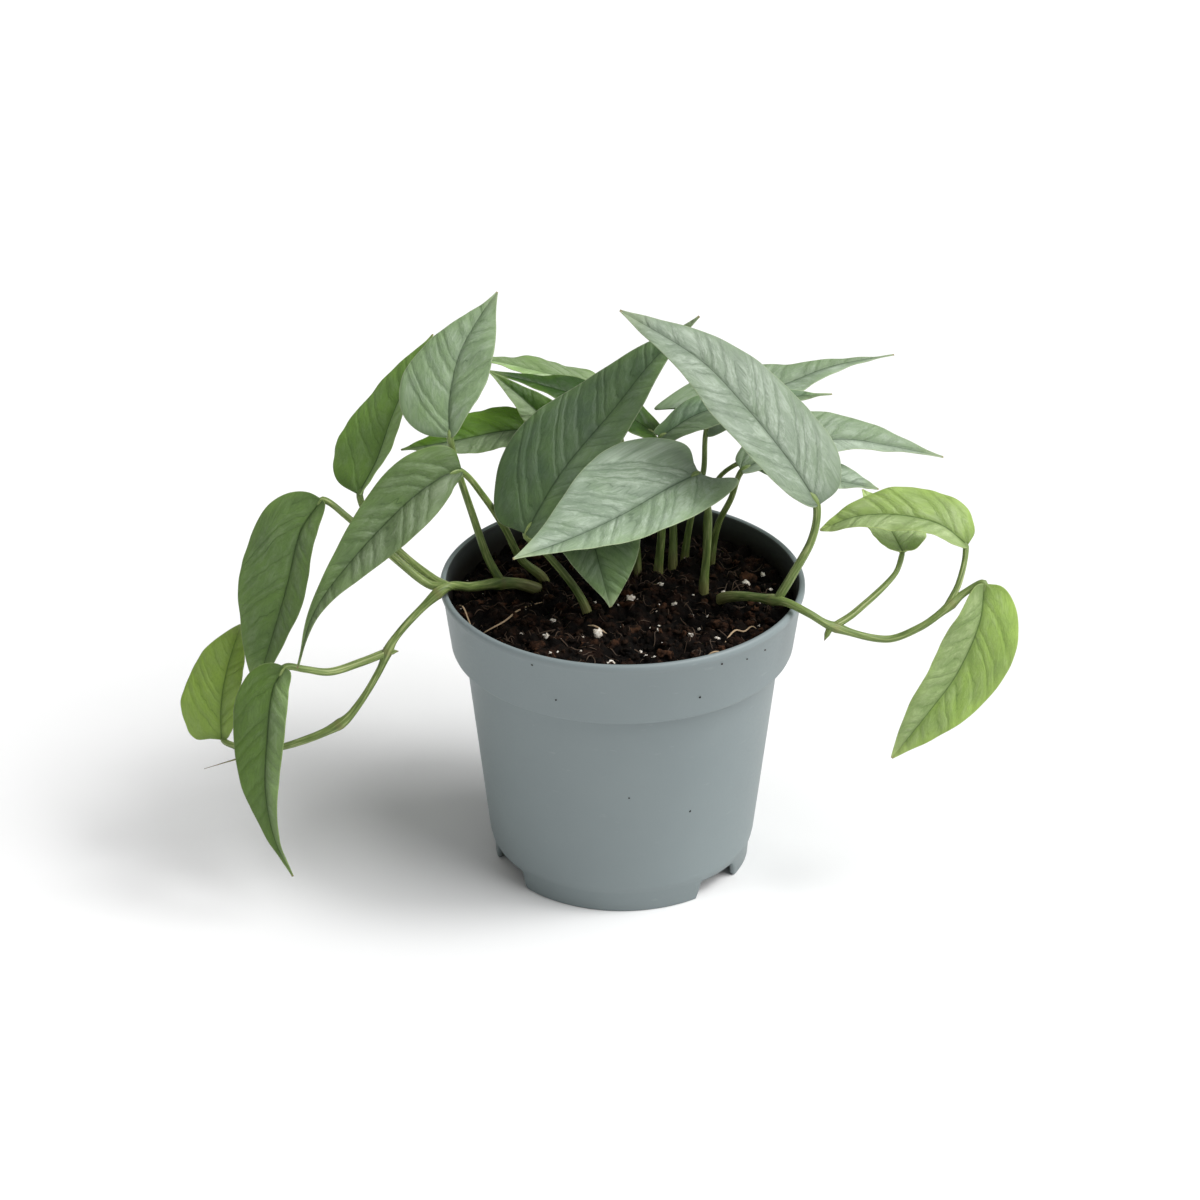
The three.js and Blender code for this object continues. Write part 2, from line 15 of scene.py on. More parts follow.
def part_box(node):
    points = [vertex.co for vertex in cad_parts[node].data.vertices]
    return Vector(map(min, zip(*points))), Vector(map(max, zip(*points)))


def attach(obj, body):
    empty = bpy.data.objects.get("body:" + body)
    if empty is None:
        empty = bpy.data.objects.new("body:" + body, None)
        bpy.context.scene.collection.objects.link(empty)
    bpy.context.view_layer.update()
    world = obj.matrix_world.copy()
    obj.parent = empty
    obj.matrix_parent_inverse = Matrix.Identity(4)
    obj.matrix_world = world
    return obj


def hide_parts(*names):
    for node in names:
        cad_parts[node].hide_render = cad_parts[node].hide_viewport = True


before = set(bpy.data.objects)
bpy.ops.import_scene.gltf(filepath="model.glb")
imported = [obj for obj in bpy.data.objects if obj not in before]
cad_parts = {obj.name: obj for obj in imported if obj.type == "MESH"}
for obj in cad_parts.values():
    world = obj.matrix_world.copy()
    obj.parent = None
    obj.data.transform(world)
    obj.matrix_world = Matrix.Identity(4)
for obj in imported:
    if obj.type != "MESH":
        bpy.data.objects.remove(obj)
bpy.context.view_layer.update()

MM = 0.001
POT_LOW, POT_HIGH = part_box("pot")
AXIS = np.array([(POT_LOW.x + POT_HIGH.x) / 2, (POT_LOW.y + POT_HIGH.y) / 2, POT_LOW.z])

# ---- real sizes, in mm
FOOT_RADIUS = 42.8
FOOT_HEIGHT = 7  # the underside of the base above the floor
NOTCH_HEIGHT = 6  # of the gaps in the foot
WALL = 1.4
BASE_TOP = 8.6
DRAIN_RADIUS = 4
DRAIN_RING = 24  # distance of the outer drain holes from the axis
SOIL_LEVEL = 93
SOIL_RADIUS = 56.6
BLADE = 0.5  # thickness of a leaf


def metres(points):
    """Points in mm from the pot's axis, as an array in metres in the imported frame."""
    return np.asarray(points, float) * MM + AXIS


# ---- smooth curves
class Path:
    """A smooth curve through all its points, measured by the length of its chords."""

    def __init__(self, points):
        self.knots = np.asarray(points, float)
        steps = np.linalg.norm(np.diff(self.knots, axis=0), axis=1)
        self.run = np.concatenate([[0], np.cumsum(steps)])
        self.length = self.run[-1]

    def at(self, share):
        share = np.atleast_1d(np.asarray(share, float))
        place = np.clip(share, 0, 1) * self.length
        last = len(self.knots) - 1
        k = np.clip(np.searchsorted(self.run, place, side="left") - 1, 0, last - 1)
        span = (self.run[k + 1] - self.run[k])[:, None]
        f = (place[:, None] - self.run[k][:, None]) / span
        start, end = self.knots[k], self.knots[k + 1]
        first, final = (k == 0)[:, None], (k == last - 1)[:, None]
        before = np.where(first, 2 * start - end, self.knots[np.maximum(k - 1, 0)])
        after = np.where(final, 2 * end - start, self.knots[np.minimum(k + 2, last)])
        span_before = np.where(first, span, (self.run[k] - self.run[np.maximum(k - 1, 0)])[:, None])
        k2 = np.minimum(k + 2, last)
        span_after = np.where(final, span, (self.run[k2] - self.run[k + 1])[:, None])
        leave = (end - before) * span / (span_before + span)
        arrive = (after - start) * span / (span + span_after)
        return (
            start * (2 * f**3 - 3 * f**2 + 1)
            + leave * (f**3 - 2 * f**2 + f)
            + end * (3 * f**2 - 2 * f**3)
            + arrive * (f**3 - f**2)
        )

    def ahead(self, share):
        share = np.atleast_1d(np.asarray(share, float))
        step = self.at(np.minimum(share + 0.01, 1)) - self.at(np.maximum(share - 0.01, 0))
        return unit(step)


def unit(v):
    return v / np.linalg.norm(v, axis=-1, keepdims=True)


def smooth(low, high, x):
    f = np.clip((x - low) / (high - low), 0, 1)
    return f * f * (3 - 2 * f)


# ---- meshes and objects
def new_object(name, points, faces, materials, attributes=None, face_material=None):
    """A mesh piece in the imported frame. points are in metres."""
    mesh = bpy.data.meshes.new(name)
    mesh.from_pydata([tuple(p) for p in points], [], faces)
    mesh.polygons.foreach_set("use_smooth", [True] * len(mesh.polygons))
    for material in materials:
        mesh.materials.append(material)
    if face_material is not None:
        mesh.polygons.foreach_set("material_index", face_material)
    for key, values in (attributes or {}).items():
        made = mesh.attributes.new(key, "FLOAT_VECTOR", "POINT")
        made.data.foreach_set("vector", np.asarray(values, np.float32).ravel())
    mesh.update()
    piece = bpy.data.objects.new(name, mesh)
    bpy.context.scene.collection.objects.link(piece)
    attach(piece, "root")
    return piece


def ring_faces(rings, sides, offset=0):
    """Quads that skin rings of points laid out one after the other."""
    faces = []
    for r in range(rings - 1):
        for j in range(sides):
            a = offset + r * sides + j
            b = offset + r * sides + (j + 1) % sides
            faces.append((a, b, b + sides, a + sides))
    return faces


def circle(radius, height, count):
    """Points of a level ring round the axis, in mm."""
    angles = [math.tau * i / count for i in range(count)]
    return [(radius * math.cos(a), radius * math.sin(a), height) for a in angles]


def swept(centre, across, over, angle, r):
    """Rings round a line of centres. r holds the radius at each ring and angle, in mm."""
    sideways = across[:, None, :] * (np.cos(angle)[None, :] * r)[..., None]
    upwards = over[:, None, :] * (np.sin(angle)[None, :] * r)[..., None]
    return centre[:, None, :] + sideways + upwards


def tube_faces(rings, sides, offset):
    """The skin of one tube, with both its ends closed."""
    start = tuple(offset + j for j in range(sides - 1, -1, -1))
    end = tuple(offset + (rings - 1) * sides + j for j in range(sides))
    return ring_faces(rings, sides, offset) + [start, end]


# ---- shader helper
class Shader:
    """A node material that is written as short expressions. Colours are linear."""

    def __init__(self, name):
        self.material = bpy.data.materials.new(name)
        self.material.use_nodes = True
        self.tree = self.material.node_tree
        self.principled = self.tree.nodes["Principled BSDF"]
        self.output = self.tree.nodes["Material Output"]

    def node(self, kind, inputs=None, **settings):
        made = self.tree.nodes.new(kind)
        for key, value in settings.items():
            setattr(made, key, value)
        for key, value in (inputs or {}).items():
            self.put(made.inputs[key], value)
        return made

    def put(self, socket, value):
        if isinstance(value, bpy.types.NodeSocket):
            self.tree.links.new(value, socket)
        elif isinstance(value, (tuple, list)) and len(value) == 3 and socket.type == "RGBA":
            socket.default_value = (*value, 1)
        else:
            socket.default_value = value

    def math(self, operation, a, b=0.0, clamp=False):
        made = self.node("ShaderNodeMath", {0: a, 1: b}, operation=operation, use_clamp=clamp)
        return made.outputs[0]

    def plus(self, a, b, clamp=False):
        return self.math("ADD", a, b, clamp=clamp)

    def minus(self, a, b):
        return self.math("SUBTRACT", a, b)

    def times(self, a, b, clamp=False):
        return self.math("MULTIPLY", a, b, clamp=clamp)

    def mix(self, factor, a, b, blend="MIX"):
        made = self.node("ShaderNodeMix", data_type="RGBA", blend_type=blend)
        self.put(made.inputs[0], factor)
        self.put(made.inputs[6], a)
        self.put(made.inputs[7], b)
        return made.outputs[2]

    def span(self, value, low, high, to_low=0.0, to_high=1.0):
        made = self.node(
            "ShaderNodeMapRange",
            {
                "Value": value, "From Min": low, "From Max": high,
                "To Min": to_low, "To Max": to_high,
            },
            interpolation_type="SMOOTHSTEP",
        )
        return made.outputs[0]

    def attribute(self, name):
        return self.node("ShaderNodeAttribute", attribute_name=name)

    def split(self, vector):
        return self.node("ShaderNodeSeparateXYZ", {0: vector}).outputs

    def join(self, x, y, z):
        return self.node("ShaderNodeCombineXYZ", {0: x, 1: y, 2: z}).outputs[0]

    def noise(self, vector, scale, detail=3.0, roughness=0.55, distortion=0.0):
        made = self.node(
            "ShaderNodeTexNoise",
            {"Vector": vector, "Scale": scale, "Detail": detail, "Roughness": roughness,
             "Distortion": distortion},
        )
        return made.outputs["Fac"]

    def position(self):
        return self.node("ShaderNodeTexCoord").outputs["Object"]

    def bump(self, height, strength, distance):
        inputs = {"Height": height, "Strength": strength, "Distance": distance}
        return self.node("ShaderNodeBump", inputs).outputs[0]

    def surface(self, **values):
        for key, value in values.items():
            self.put(self.principled.inputs[key.replace("_", " ")], value)

    def through(self, colour, share):
        """Lets a share of the light through, as a thin leaf does."""
        thin = self.node("ShaderNodeBsdfTranslucent", {"Color": colour})
        both = self.node("ShaderNodeMixShader", {0: share})
        self.tree.links.new(self.principled.outputs[0], both.inputs[1])
        self.tree.links.new(thin.outputs[0], both.inputs[2])
        self.tree.links.new(both.outputs[0], self.output.inputs[0])


def srgb(r, g, b):
    """A colour of 0 to 255 per channel, as linear light."""
    out = []
    for c in (r, g, b):
        c = c / 255
        out.append(c / 12.92 if c <= 0.04045 else ((c + 0.055) / 1.055) ** 2.4)
    return tuple(out)


# ---- leaf materials
LEAF_LOOKS = {
    # dark and fresh: the two greens of the blade. silver: its feathered flecks. edge: the fine
    # pale margin, partly painted light that comes through the thin edge. under: the lower side.
    # glow: the light that comes through.
    "leaf_silver": dict(
        dark=srgb(62, 94, 58), fresh=srgb(112, 148, 72), silver=srgb(196, 212, 190),
        edge=srgb(186, 202, 158), under=srgb(138, 162, 118), glow=srgb(120, 165, 50),
    ),
    "leaf_green": dict(
        dark=srgb(46, 82, 12), fresh=srgb(102, 142, 30), silver=srgb(158, 178, 136),
        edge=srgb(156, 178, 112), under=srgb(132, 154, 100), glow=srgb(110, 160, 30),
    ),
    "leaf_young": dict(
        dark=srgb(92, 128, 40), fresh=srgb(156, 192, 60), silver=srgb(192, 210, 152),
        edge=srgb(190, 208, 130), under=srgb(176, 196, 136), glow=srgb(150, 190, 50),
    ),
}
DRY_TIP = srgb(176, 158, 118)


def leaf_upper(slot, look):
    """Attributes: place = (share along, signed share across, mm from the margin),
    flow = (side vein count, mm from the midrib, a number of its own for each half),
    tint = (silver, in part a painted sheen; fresh; painted light and shade, lighter or darker)."""
    s = Shader(slot + "_upper")
    along, _, edge = s.split(s.attribute("place").outputs["Vector"])
    veins, away, own = s.split(s.attribute("flow").outputs["Vector"])
    silver_share, fresh, painted_light = s.split(s.attribute("tint").outputs["Vector"])

    # the side veins waver, and faint finer ones run between them
    waver = s.noise(s.join(s.times(veins, 0.9), s.times(away, 0.3), own), 1.0, 3)
    count = s.plus(veins, s.times(s.minus(waver, 0.5), 0.7))
    to_vein = s.math("PINGPONG", count, 0.5)
    to_fine = s.math("PINGPONG", s.times(count, 3.0), 0.5)
    beyond_rib = s.span(away, 0.2, 1.6)
    inside = s.span(edge, 0.4, 2.8)

    # silver in short feathered flecks that lie along the side veins, denser in some patches
    streak_at = s.join(s.times(count, 3.4), s.times(away, 0.42), own)
    streak = s.noise(streak_at, 1.0, 5, 0.6, 0.3)
    patch_at = s.join(s.times(count, 0.7), s.times(away, 0.13), own)
    patch = s.noise(patch_at, 1.0, 2)
    between = s.span(to_vein, 0.02, 0.2, 0.2, 1.0)
    flecks = s.plus(s.times(streak, 1.15), s.times(patch, 0.8))
    flecks = s.times(s.span(flecks, 0.84, 1.2), between)
    flecks = s.times(flecks, s.times(beyond_rib, inside))
    haze = s.plus(0.44, s.times(patch, 0.3))
    silver = s.plus(haze, s.times(flecks, 0.36))
    cloud = s.noise(s.position(), 90.0, 4)
    silver = s.times(silver, s.minus(1.35, s.times(cloud, 0.7)))
    # in part painted sheen: the silver share is set half by half, higher on halves that catch white
    # reflection
    silver = s.times(silver, silver_share, clamp=True)

    # a fresher green in clouds, along the margin and near the base
    fresher = s.plus(s.span(edge, 4.5, 0.6, 0.0, 0.3), s.span(along, 0.25, 0.0, 0.0, 0.2))
    fresher = s.plus(fresher, s.times(s.minus(cloud, 0.58), 1.4))
    green = s.mix(s.plus(fresh, fresher, clamp=True), look["dark"], look["fresh"])
    colour = s.mix(silver, green, look["silver"])

    # darker veins: the midrib, the side veins fading outwards, and a fine net. The soft darker band
    # round each side vein is painted shade in the vein's sunk crease.
    broken = s.noise(s.join(s.times(count, 0.8), s.times(away, 0.45), own), 1.0, 2)
    line = s.times(s.span(to_vein, 0.05, 0.0), s.span(edge, 0.5, 7.0))
    line = s.times(line, s.span(broken, 0.3, 0.6, 0.2, 0.75))
    # painted shade: a soft darker band in the crease of each sunk side vein
    painted_shade = s.times(s.span(to_vein, 0.2, 0.0), s.span(edge, 0.5, 5.0, 0.0, 0.13))
    fine_line = s.times(s.span(to_fine, 0.1, 0.0, 0.0, 0.14), inside)
    net_at = s.join(s.times(count, 10.0), s.times(away, 1.5), own)
    net = s.noise(net_at, 1.0, 3, 0.7)
    dark = tuple(c * 0.42 for c in look["dark"])
    veined = s.math("MAXIMUM", s.times(line, 0.7), s.math("MAXIMUM", painted_shade, fine_line))
    colour = s.mix(s.times(veined, beyond_rib), colour, dark)
    colour = s.mix(s.span(net, 0.36, 0.6, 0.16, 0.0), colour, dark)
    rib = s.span(away, s.span(along, 0.0, 1.0, 0.55, 0.18), 0.04, 0.0, 0.72)
    # painted shade: a soft darker band on each side of the midrib, along its groove
    painted_rib_shade = s.span(away, 2.4, 0.2, 0.0, 0.2)
    colour = s.mix(s.math("MAXIMUM", rib, painted_rib_shade), colour, dark)
    colour = s.mix(s.span(along, 0.1, 0.0, 0.0, 0.35), colour, dark)

    # fine pale margin, partly the leaf's own colour and partly painted light that comes through the
    # thin edge; fresher tip with a dry point
    colour = s.mix(s.span(edge, 0.3, 0.06, 0.0, 0.55), colour, look["edge"])
    colour = s.mix(s.span(along, 0.84, 0.99, 0.0, 0.45), colour, look["edge"])
    colour = s.mix(s.span(along, 0.985, 0.999, 0.0, 0.8), colour, DRY_TIP)
    # painted light and shade: each half is made lighter or darker for the light that falls on it
    gain = s.math("POWER", 2.0, painted_light)
    colour = s.mix(1.0, colour, s.join(gain, gain, gain), "MULTIPLY")

    height = s.plus(s.times(s.span(to_vein, 0.0, 0.35), 0.6), s.times(streak, 0.5))
    height = s.plus(height, s.times(net, 0.35))
    s.surface(
        Base_Color=colour,
        Roughness=s.plus(0.36, s.times(net, 0.2)),
        Normal=s.bump(height, 0.6, 0.0007),
        Specular_IOR_Level=0.4,
        Sheen_Weight=0.03,
        Sheen_Roughness=0.4,
    )
    s.through(look["glow"], 0.2)
    return s.material


def leaf_under(slot, look):
    s = Shader(slot + "_under")
    along, _, edge = s.split(s.attribute("place").outputs["Vector"])
    veins, away, own = s.split(s.attribute("flow").outputs["Vector"])
    to_vein = s.math("PINGPONG", veins, 0.5)
    cloud = s.noise(s.position(), 160.0, 4)
    net = s.noise(s.join(s.times(veins, 9.0), away, own), 1.0, 3, 0.7)
    colour = s.mix(s.times(cloud, 0.5), look["under"], look["dark"])
    colour = s.mix(s.span(net, 0.4, 0.7, 0.0, 0.16), colour, look["dark"])
    line = s.times(s.span(to_vein, 0.09, 0.0), s.span(edge, 0.2, 3.0))
    colour = s.mix(s.times(line, 0.45), colour, look["edge"])
    colour = s.mix(s.span(away, 1.1, 0.3, 0.0, 0.6), colour, look["edge"])
    # pale margin, partly painted light that comes through the thin edge
    colour = s.mix(s.span(edge, 0.5, 0.0, 0.0, 0.5), colour, look["edge"])
    colour = s.mix(s.span(along, 0.982, 0.998), colour, DRY_TIP)
    height = s.plus(line, s.times(s.plus(cloud, net), 0.3))
    s.surface(
        Base_Color=colour,
        Roughness=s.plus(0.45, s.times(cloud, 0.15)),
        Normal=s.bump(height, 0.35, 0.0005),
        Specular_IOR_Level=0.4,
    )
    s.through(look["glow"], 0.2)
    return s.material


# ---- leaves
# slot: its kind, if not silver. rib: points the midrib passes through, from the leaf's base to
# its tip. face: the way the upper side looks. half: greatest half width left and right of the
# midrib, seen from above and looking to the tip. lobe: how far each base lobe reaches back,
# furthest at the share lobe_at of the rib. form: the two powers of each half's outline.
# silver, fresh, tone: how silvery and how fresh a green its left and right halves are, and how much
# lighter or darker each half is painted; that last is painted light and shade for the light that
# falls on each half, and the silver of a half is in part a painted sheen.
# quilt: how far it is puffed up between its side veins, against its kind.
LEAVES = {
    "leaf_01": dict(
        slot="leaf_young",
        rib=[(-133, -15, 49.5), (-132.8, -13, 61), (-130.8, -8, 72), (-126, -2, 86)],
        face=(-0.4, -0.9, 0.1), half=(13.6, 6.3), lobe=(4, 0.5), lobe_at=0.1,
        form=((0.42, 0.9), (0.8, 1)), silver=(0.3, 0.3), fresh=(1, 0.8), painted_light=(-0.3, -0.4),
    ),
    "leaf_02": dict(
        slot="leaf_green",
        rib=[
            (-98, 0, 131), (-105, -3, 121), (-109.5, -9, 104.5), (-114.5, -14, 88.5),
            (-120, -20, 72),
        ],
        face=(-0.4, -0.85, 0.4), half=(6.5, 17), lobe=(0.5, 0.5), form=((0.7, 0.9), (0.62, 0.9)),
        silver=(0.6, 0.5), fresh=(0.8, 0.7), painted_light=(-0.35, -0.1), quilt=1.2,
    ),
    "leaf_03": dict(
        slot="leaf_green",
        rib=[
            (-52, -3, 143), (-58.5, -7, 142.5), (-70, -14, 136.3), (-87.5, -26, 121.5),
            (-99, -35, 108), (-104.5, -42, 91.5),
        ],
        face=(-0.3, -0.9, 0.35), half=(9.4, 11.3), lobe=(0.5, 1), form=((1, 2.3), (0.5, 2.1)),
        fold=0.25, silver=(1, 0.6), fresh=(0.5, 0.5), painted_light=(-0.6, -0.4), quilt=2,
    ),
    "leaf_04": dict(
        slot="leaf_green",
        rib=[
            (-109, -35, 88), (-113, -38, 81.5), (-115, -43, 66.5), (-116, -47, 49),
            (-113.5, -49, 31.5), (-108, -50, 18),
        ],
        face=(-0.2, -0.98, 0.2), half=(5.5, 11), lobe=(0.5, 0.5), form=((0.55, 1.5), (0.65, 1.9)),
        fold=0.3, silver=(0.8, 0.3), fresh=(0.9, 1), painted_light=(-0.1, -0.6), quilt=1.4,
    ),
    "leaf_05": dict(
        slot="leaf_green",
        rib=[(-87, 12, 127), (-81, 18, 136.5), (-76, 26, 148.5), (-70, 34, 160), (-62.5, 40, 172)],
        face=(-0.6, -0.7, 0.4), half=(16.5, 4.4), lobe=(0.5, 0.3), form=((0.42, 1.35), (1.3, 1.1)),
        fold=0.25, silver=(0.35, 0.9), fresh=(0.9, 1), painted_light=(0.25, 0.6),
    ),
    "leaf_06": dict(
        rib=[(-56, -1, 154), (-56, 6, 164), (-53, 18, 174.5), (-47, 30, 182), (-41, 38, 188)],
        face=(-0.15, -0.75, 0.65), half=(16, 11), lobe=(0.5, 0.5), form=((0.6, 1.7), (1, 1.2)),
        silver=(0.5, 0.6), fresh=(1, 1), painted_light=(-0.15, -0.2), quilt=1.3,
    ),
    "leaf_07": dict(
        slot="leaf_green", rib=[(-28, 37, 139), (-40, 33, 140), (-55, 28, 139), (-73, 23, 138)],
        face=(0, -0.4, 0.9), half=(7.5, 10), lobe=(2, 2), silver=(1, 0), fresh=(0.1, 0.7),
        painted_light=(-0.2, 0.1),
    ),
    "leaf_08": dict(
        slot="leaf_green", rib=[(-4, 60, 142), (-21, 59, 148), (-40, 57, 154), (-52, 55, 157)],
        face=(0, 0.03, 0.99), half=(10, 11), lobe=(4, 4), silver=(1, 0.9), fresh=(0.7, 0.7),
        painted_light=(0.7, 0.1),
    ),
    "leaf_09": dict(
        slot="leaf_green", rib=[(11, 42, 135), (-4, 42, 145), (-26, 41, 153), (-45, 40, 159)],
        face=(0, -0.2, 0.98), half=(7, 9), lobe=(4, 4), silver=(0, 0), fresh=(0, 0), painted_light=(0, -0.2),
    ),
    "leaf_10": dict(
        rib=[(-32, -3, 120), (-20, 6, 138), (-3, 18, 155), (10, 26, 169), (25, 32, 182)],
        face=(-0.4, -0.8, 0.45), half=(20.5, 10), lobe=(3, 3), form=((0.5, 1.45), (0.62, 1.4)),
        fold=0.15, silver=(0.2, 0.3), fresh=(0.4, 0.6), painted_light=(-0.4, -0.3),
    ),
    "leaf_11": dict(
        rib=[
            (25, 5, 138.5), (13.5, -6, 137.5), (-0.5, -17, 134), (-18, -28, 130.5),
            (-35, -37, 128.5),
        ],
        face=(0.1, -0.5, 0.85), half=(12.3, 22.5), lobe=(13, 6.5), lobe_at=0.04,
        form=((0.42, 1.5), (0.55, 1.3)), fold=0.15, silver=(0.7, 0.75), fresh=(0.4, 0.1),
        painted_light=(0.15, 0.15), quilt=1.4,
    ),
    "leaf_12": dict(
        rib=[(12, 21, 143.5), (25.5, 25, 150.5), (45, 28, 154), (69, 30, 155)],
        face=(0, -0.3, 0.95), half=(6.5, 7), lobe=(2, 2), silver=(0.3, 0.6), fresh=(0.1, 0.6),
        painted_light=(0.4, -0.3),
    ),
    "leaf_13": dict(
        rib=[(63, -15, 136.5), (53.5, -9, 149.5), (39, 0, 165), (24.5, 7, 178), (-1, 14, 192)],
        face=(0.45, -0.65, 0.6), half=(11.5, 17.3), lobe=(0.5, 1), form=((0.7, 1.1), (0.4, 1.15)),
        silver=(1, 1), fresh=(0.2, 0.3), painted_light=(-0.2, -0.25), quilt=1.3,
    ),
    "leaf_14": dict(
        rib=[(28, 33, 142), (41, 42, 147), (57, 52, 149.5), (71, 60, 151.5), (92, 68, 152)],
        face=(0, -0.35, 0.93), half=(17, 8), lobe=(12.5, 6), lobe_at=0.05,
        form=((0.25, 2.2), (0.62, 1.8)), fold=0.3, silver=(0.7, 0.9), fresh=(0.9, 0.5),
        painted_light=(-0.2, 0),
    ),
    "leaf_15": dict(
        rib=[(39, 18, 133), (55, 23, 139), (72, 27, 140), (87, 31, 136), (107, 34, 130)],
        face=(0.1, -0.5, 0.85), half=(10.6, 5.3), lobe=(1.5, 1), form=((0.62, 1.4), (0.9, 1.9)),
        fold=0.25, silver=(0.7, 1.2), fresh=(0.8, 0.2), painted_light=(-0.1, 0),
    ),
    "leaf_16": dict(
        rib=[(39.5, 29, 131.5), (55, 24, 131), (72, 18, 129), (84, 12, 129)],
        face=(0.1, -0.2, 0.97), half=(10, 7), lobe=(1, 1), form=((0.75, 1.1), (1, 1.6)),
        silver=(0.9, 0.9), fresh=(0.4, 0.4), painted_light=(0.2, 0.2),
    ),
    "leaf_17": dict(
        slot="leaf_young",
        rib=[(112, -10, 119.5), (103, -9, 126.5), (90, -7, 129), (76, -6, 128), (64, -6, 123)],
        face=(0, -0.45, 0.9), half=(6, 11), lobe=(0.5, 1), form=((0.8, 0.85), (0.5, 1.1)),
        fold=0.25, silver=(1, 0.7), fresh=(0, 0.8), painted_light=(0.1, -0.05), quilt=1.5,
    ),
    "leaf_18": dict(
        slot="leaf_young", rib=[(91, -8, 116.5), (88.5, 4, 117), (84.5, 18, 118.5), (80, 28, 121)],
        face=(0.1, -0.2, 0.97), half=(7, 10.5), lobe=(1, 1), form=((0.85, 1.3), (0.7, 1.3)),
        silver=(1.3, 1.2), fresh=(0, 0.2), painted_light=(0.5, 0.4),
    ),
    "leaf_19": dict(
        slot="leaf_young",
        rib=[
            (117, -20, 110.5), (115.5, -24, 98), (108.5, -28, 81.5), (99.5, -32, 69.5),
            (88, -34, 53.5),
        ],
        face=(0.25, -0.9, 0.35), half=(14.2, 9.2), lobe=(1, 0.5), form=((0.55, 1.05), (0.65, 0.95)),
        silver=(0.5, 0.8), fresh=(0.7, 0), painted_light=(0, 0.1),
    ),
    "leaf_20": dict(
        rib=[(-12, 6, 126), (-10, -6, 121), (-7, -16, 113), (-4, -22, 103)],
        face=(0.1, -0.75, 0.65), half=(15, 11.4), lobe=(2, 2), form=((0.6, 1), (0.62, 1.4)),
        silver=(0.25, 0.3), fresh=(0.8, 0.8), painted_light=(-0.1, -0.2),
    ),
    "leaf_21": dict(
        slot="leaf_green", rib=[(-11, 26, 129), (-20, 29, 140), (-32, 31, 152), (-44, 33, 162)],
        face=(0.2, -0.7, 0.7), half=(7, 7), lobe=(4, 4), silver=(1.1, 0), fresh=(0, 0.2),
        painted_light=(0.1, -0.2),
    ),
}
ALONG_STEPS = 104
ACROSS_STEPS = 43
PLAIN_FORM = ((0.62, 1.4), (0.62, 1.4))  # of a leaf that names none
LOBE_AT = 0.03  # share of the midrib where a base lobe reaches back furthest
LOBE_BEND = 2.5  # the lobe's reach grows with this power of the way out to the margin
VEIN_SPACING = 6.6  # mm along the midrib between side veins on a full-size leaf
VEIN_LEAN = 0.85  # how far a side vein runs on for each mm outwards, and how that grows
VEIN_BEND = 0.024
QUILT = 0.17  # mm that the blade stands up between its side veins
PLAIN_FOLD = 0.2  # fold: how steeply each half rises from the midrib, in radians
BEND_BACK = 0.15  # how much a half curves back down towards its margin
WAVE_HEIGHT = 0.8  # the margin's waves, and how many radians of them run along a leaf
WAVE_RUN = 14.5
BASE_WIDE = 1.1  # half width where the leaf joins its stalk, and at its tip
TIP_WIDE = 0.3
RIPPLE = 0.35  # mm of the finer ripples of the margin
GROOVE = 0.28  # depth of the midrib's groove, and half its width
GROOVE_WIDE = 0.55
RIB = 1.15  # how far the midrib stands out below at the leaf's base, and what is left at its tip
RIB_AT_TIP = 0.15
ROUNDED = 0.12  # mm that the margin is rounded outwards


def leaf_outline(t, form):
    rise, fall = form
    peak = rise / (rise + fall)
    return t**rise * (1 - t) ** fall / (peak**rise * (1 - peak) ** fall)


def leaf_frame(leaf, t):
    rib = Path(leaf["rib"])
    ahead = rib.ahead(t)
    side = unit(np.cross(ahead, unit(np.array(leaf["face"], float))))
    return rib.at(t), ahead, side, np.cross(side, ahead), rib.length


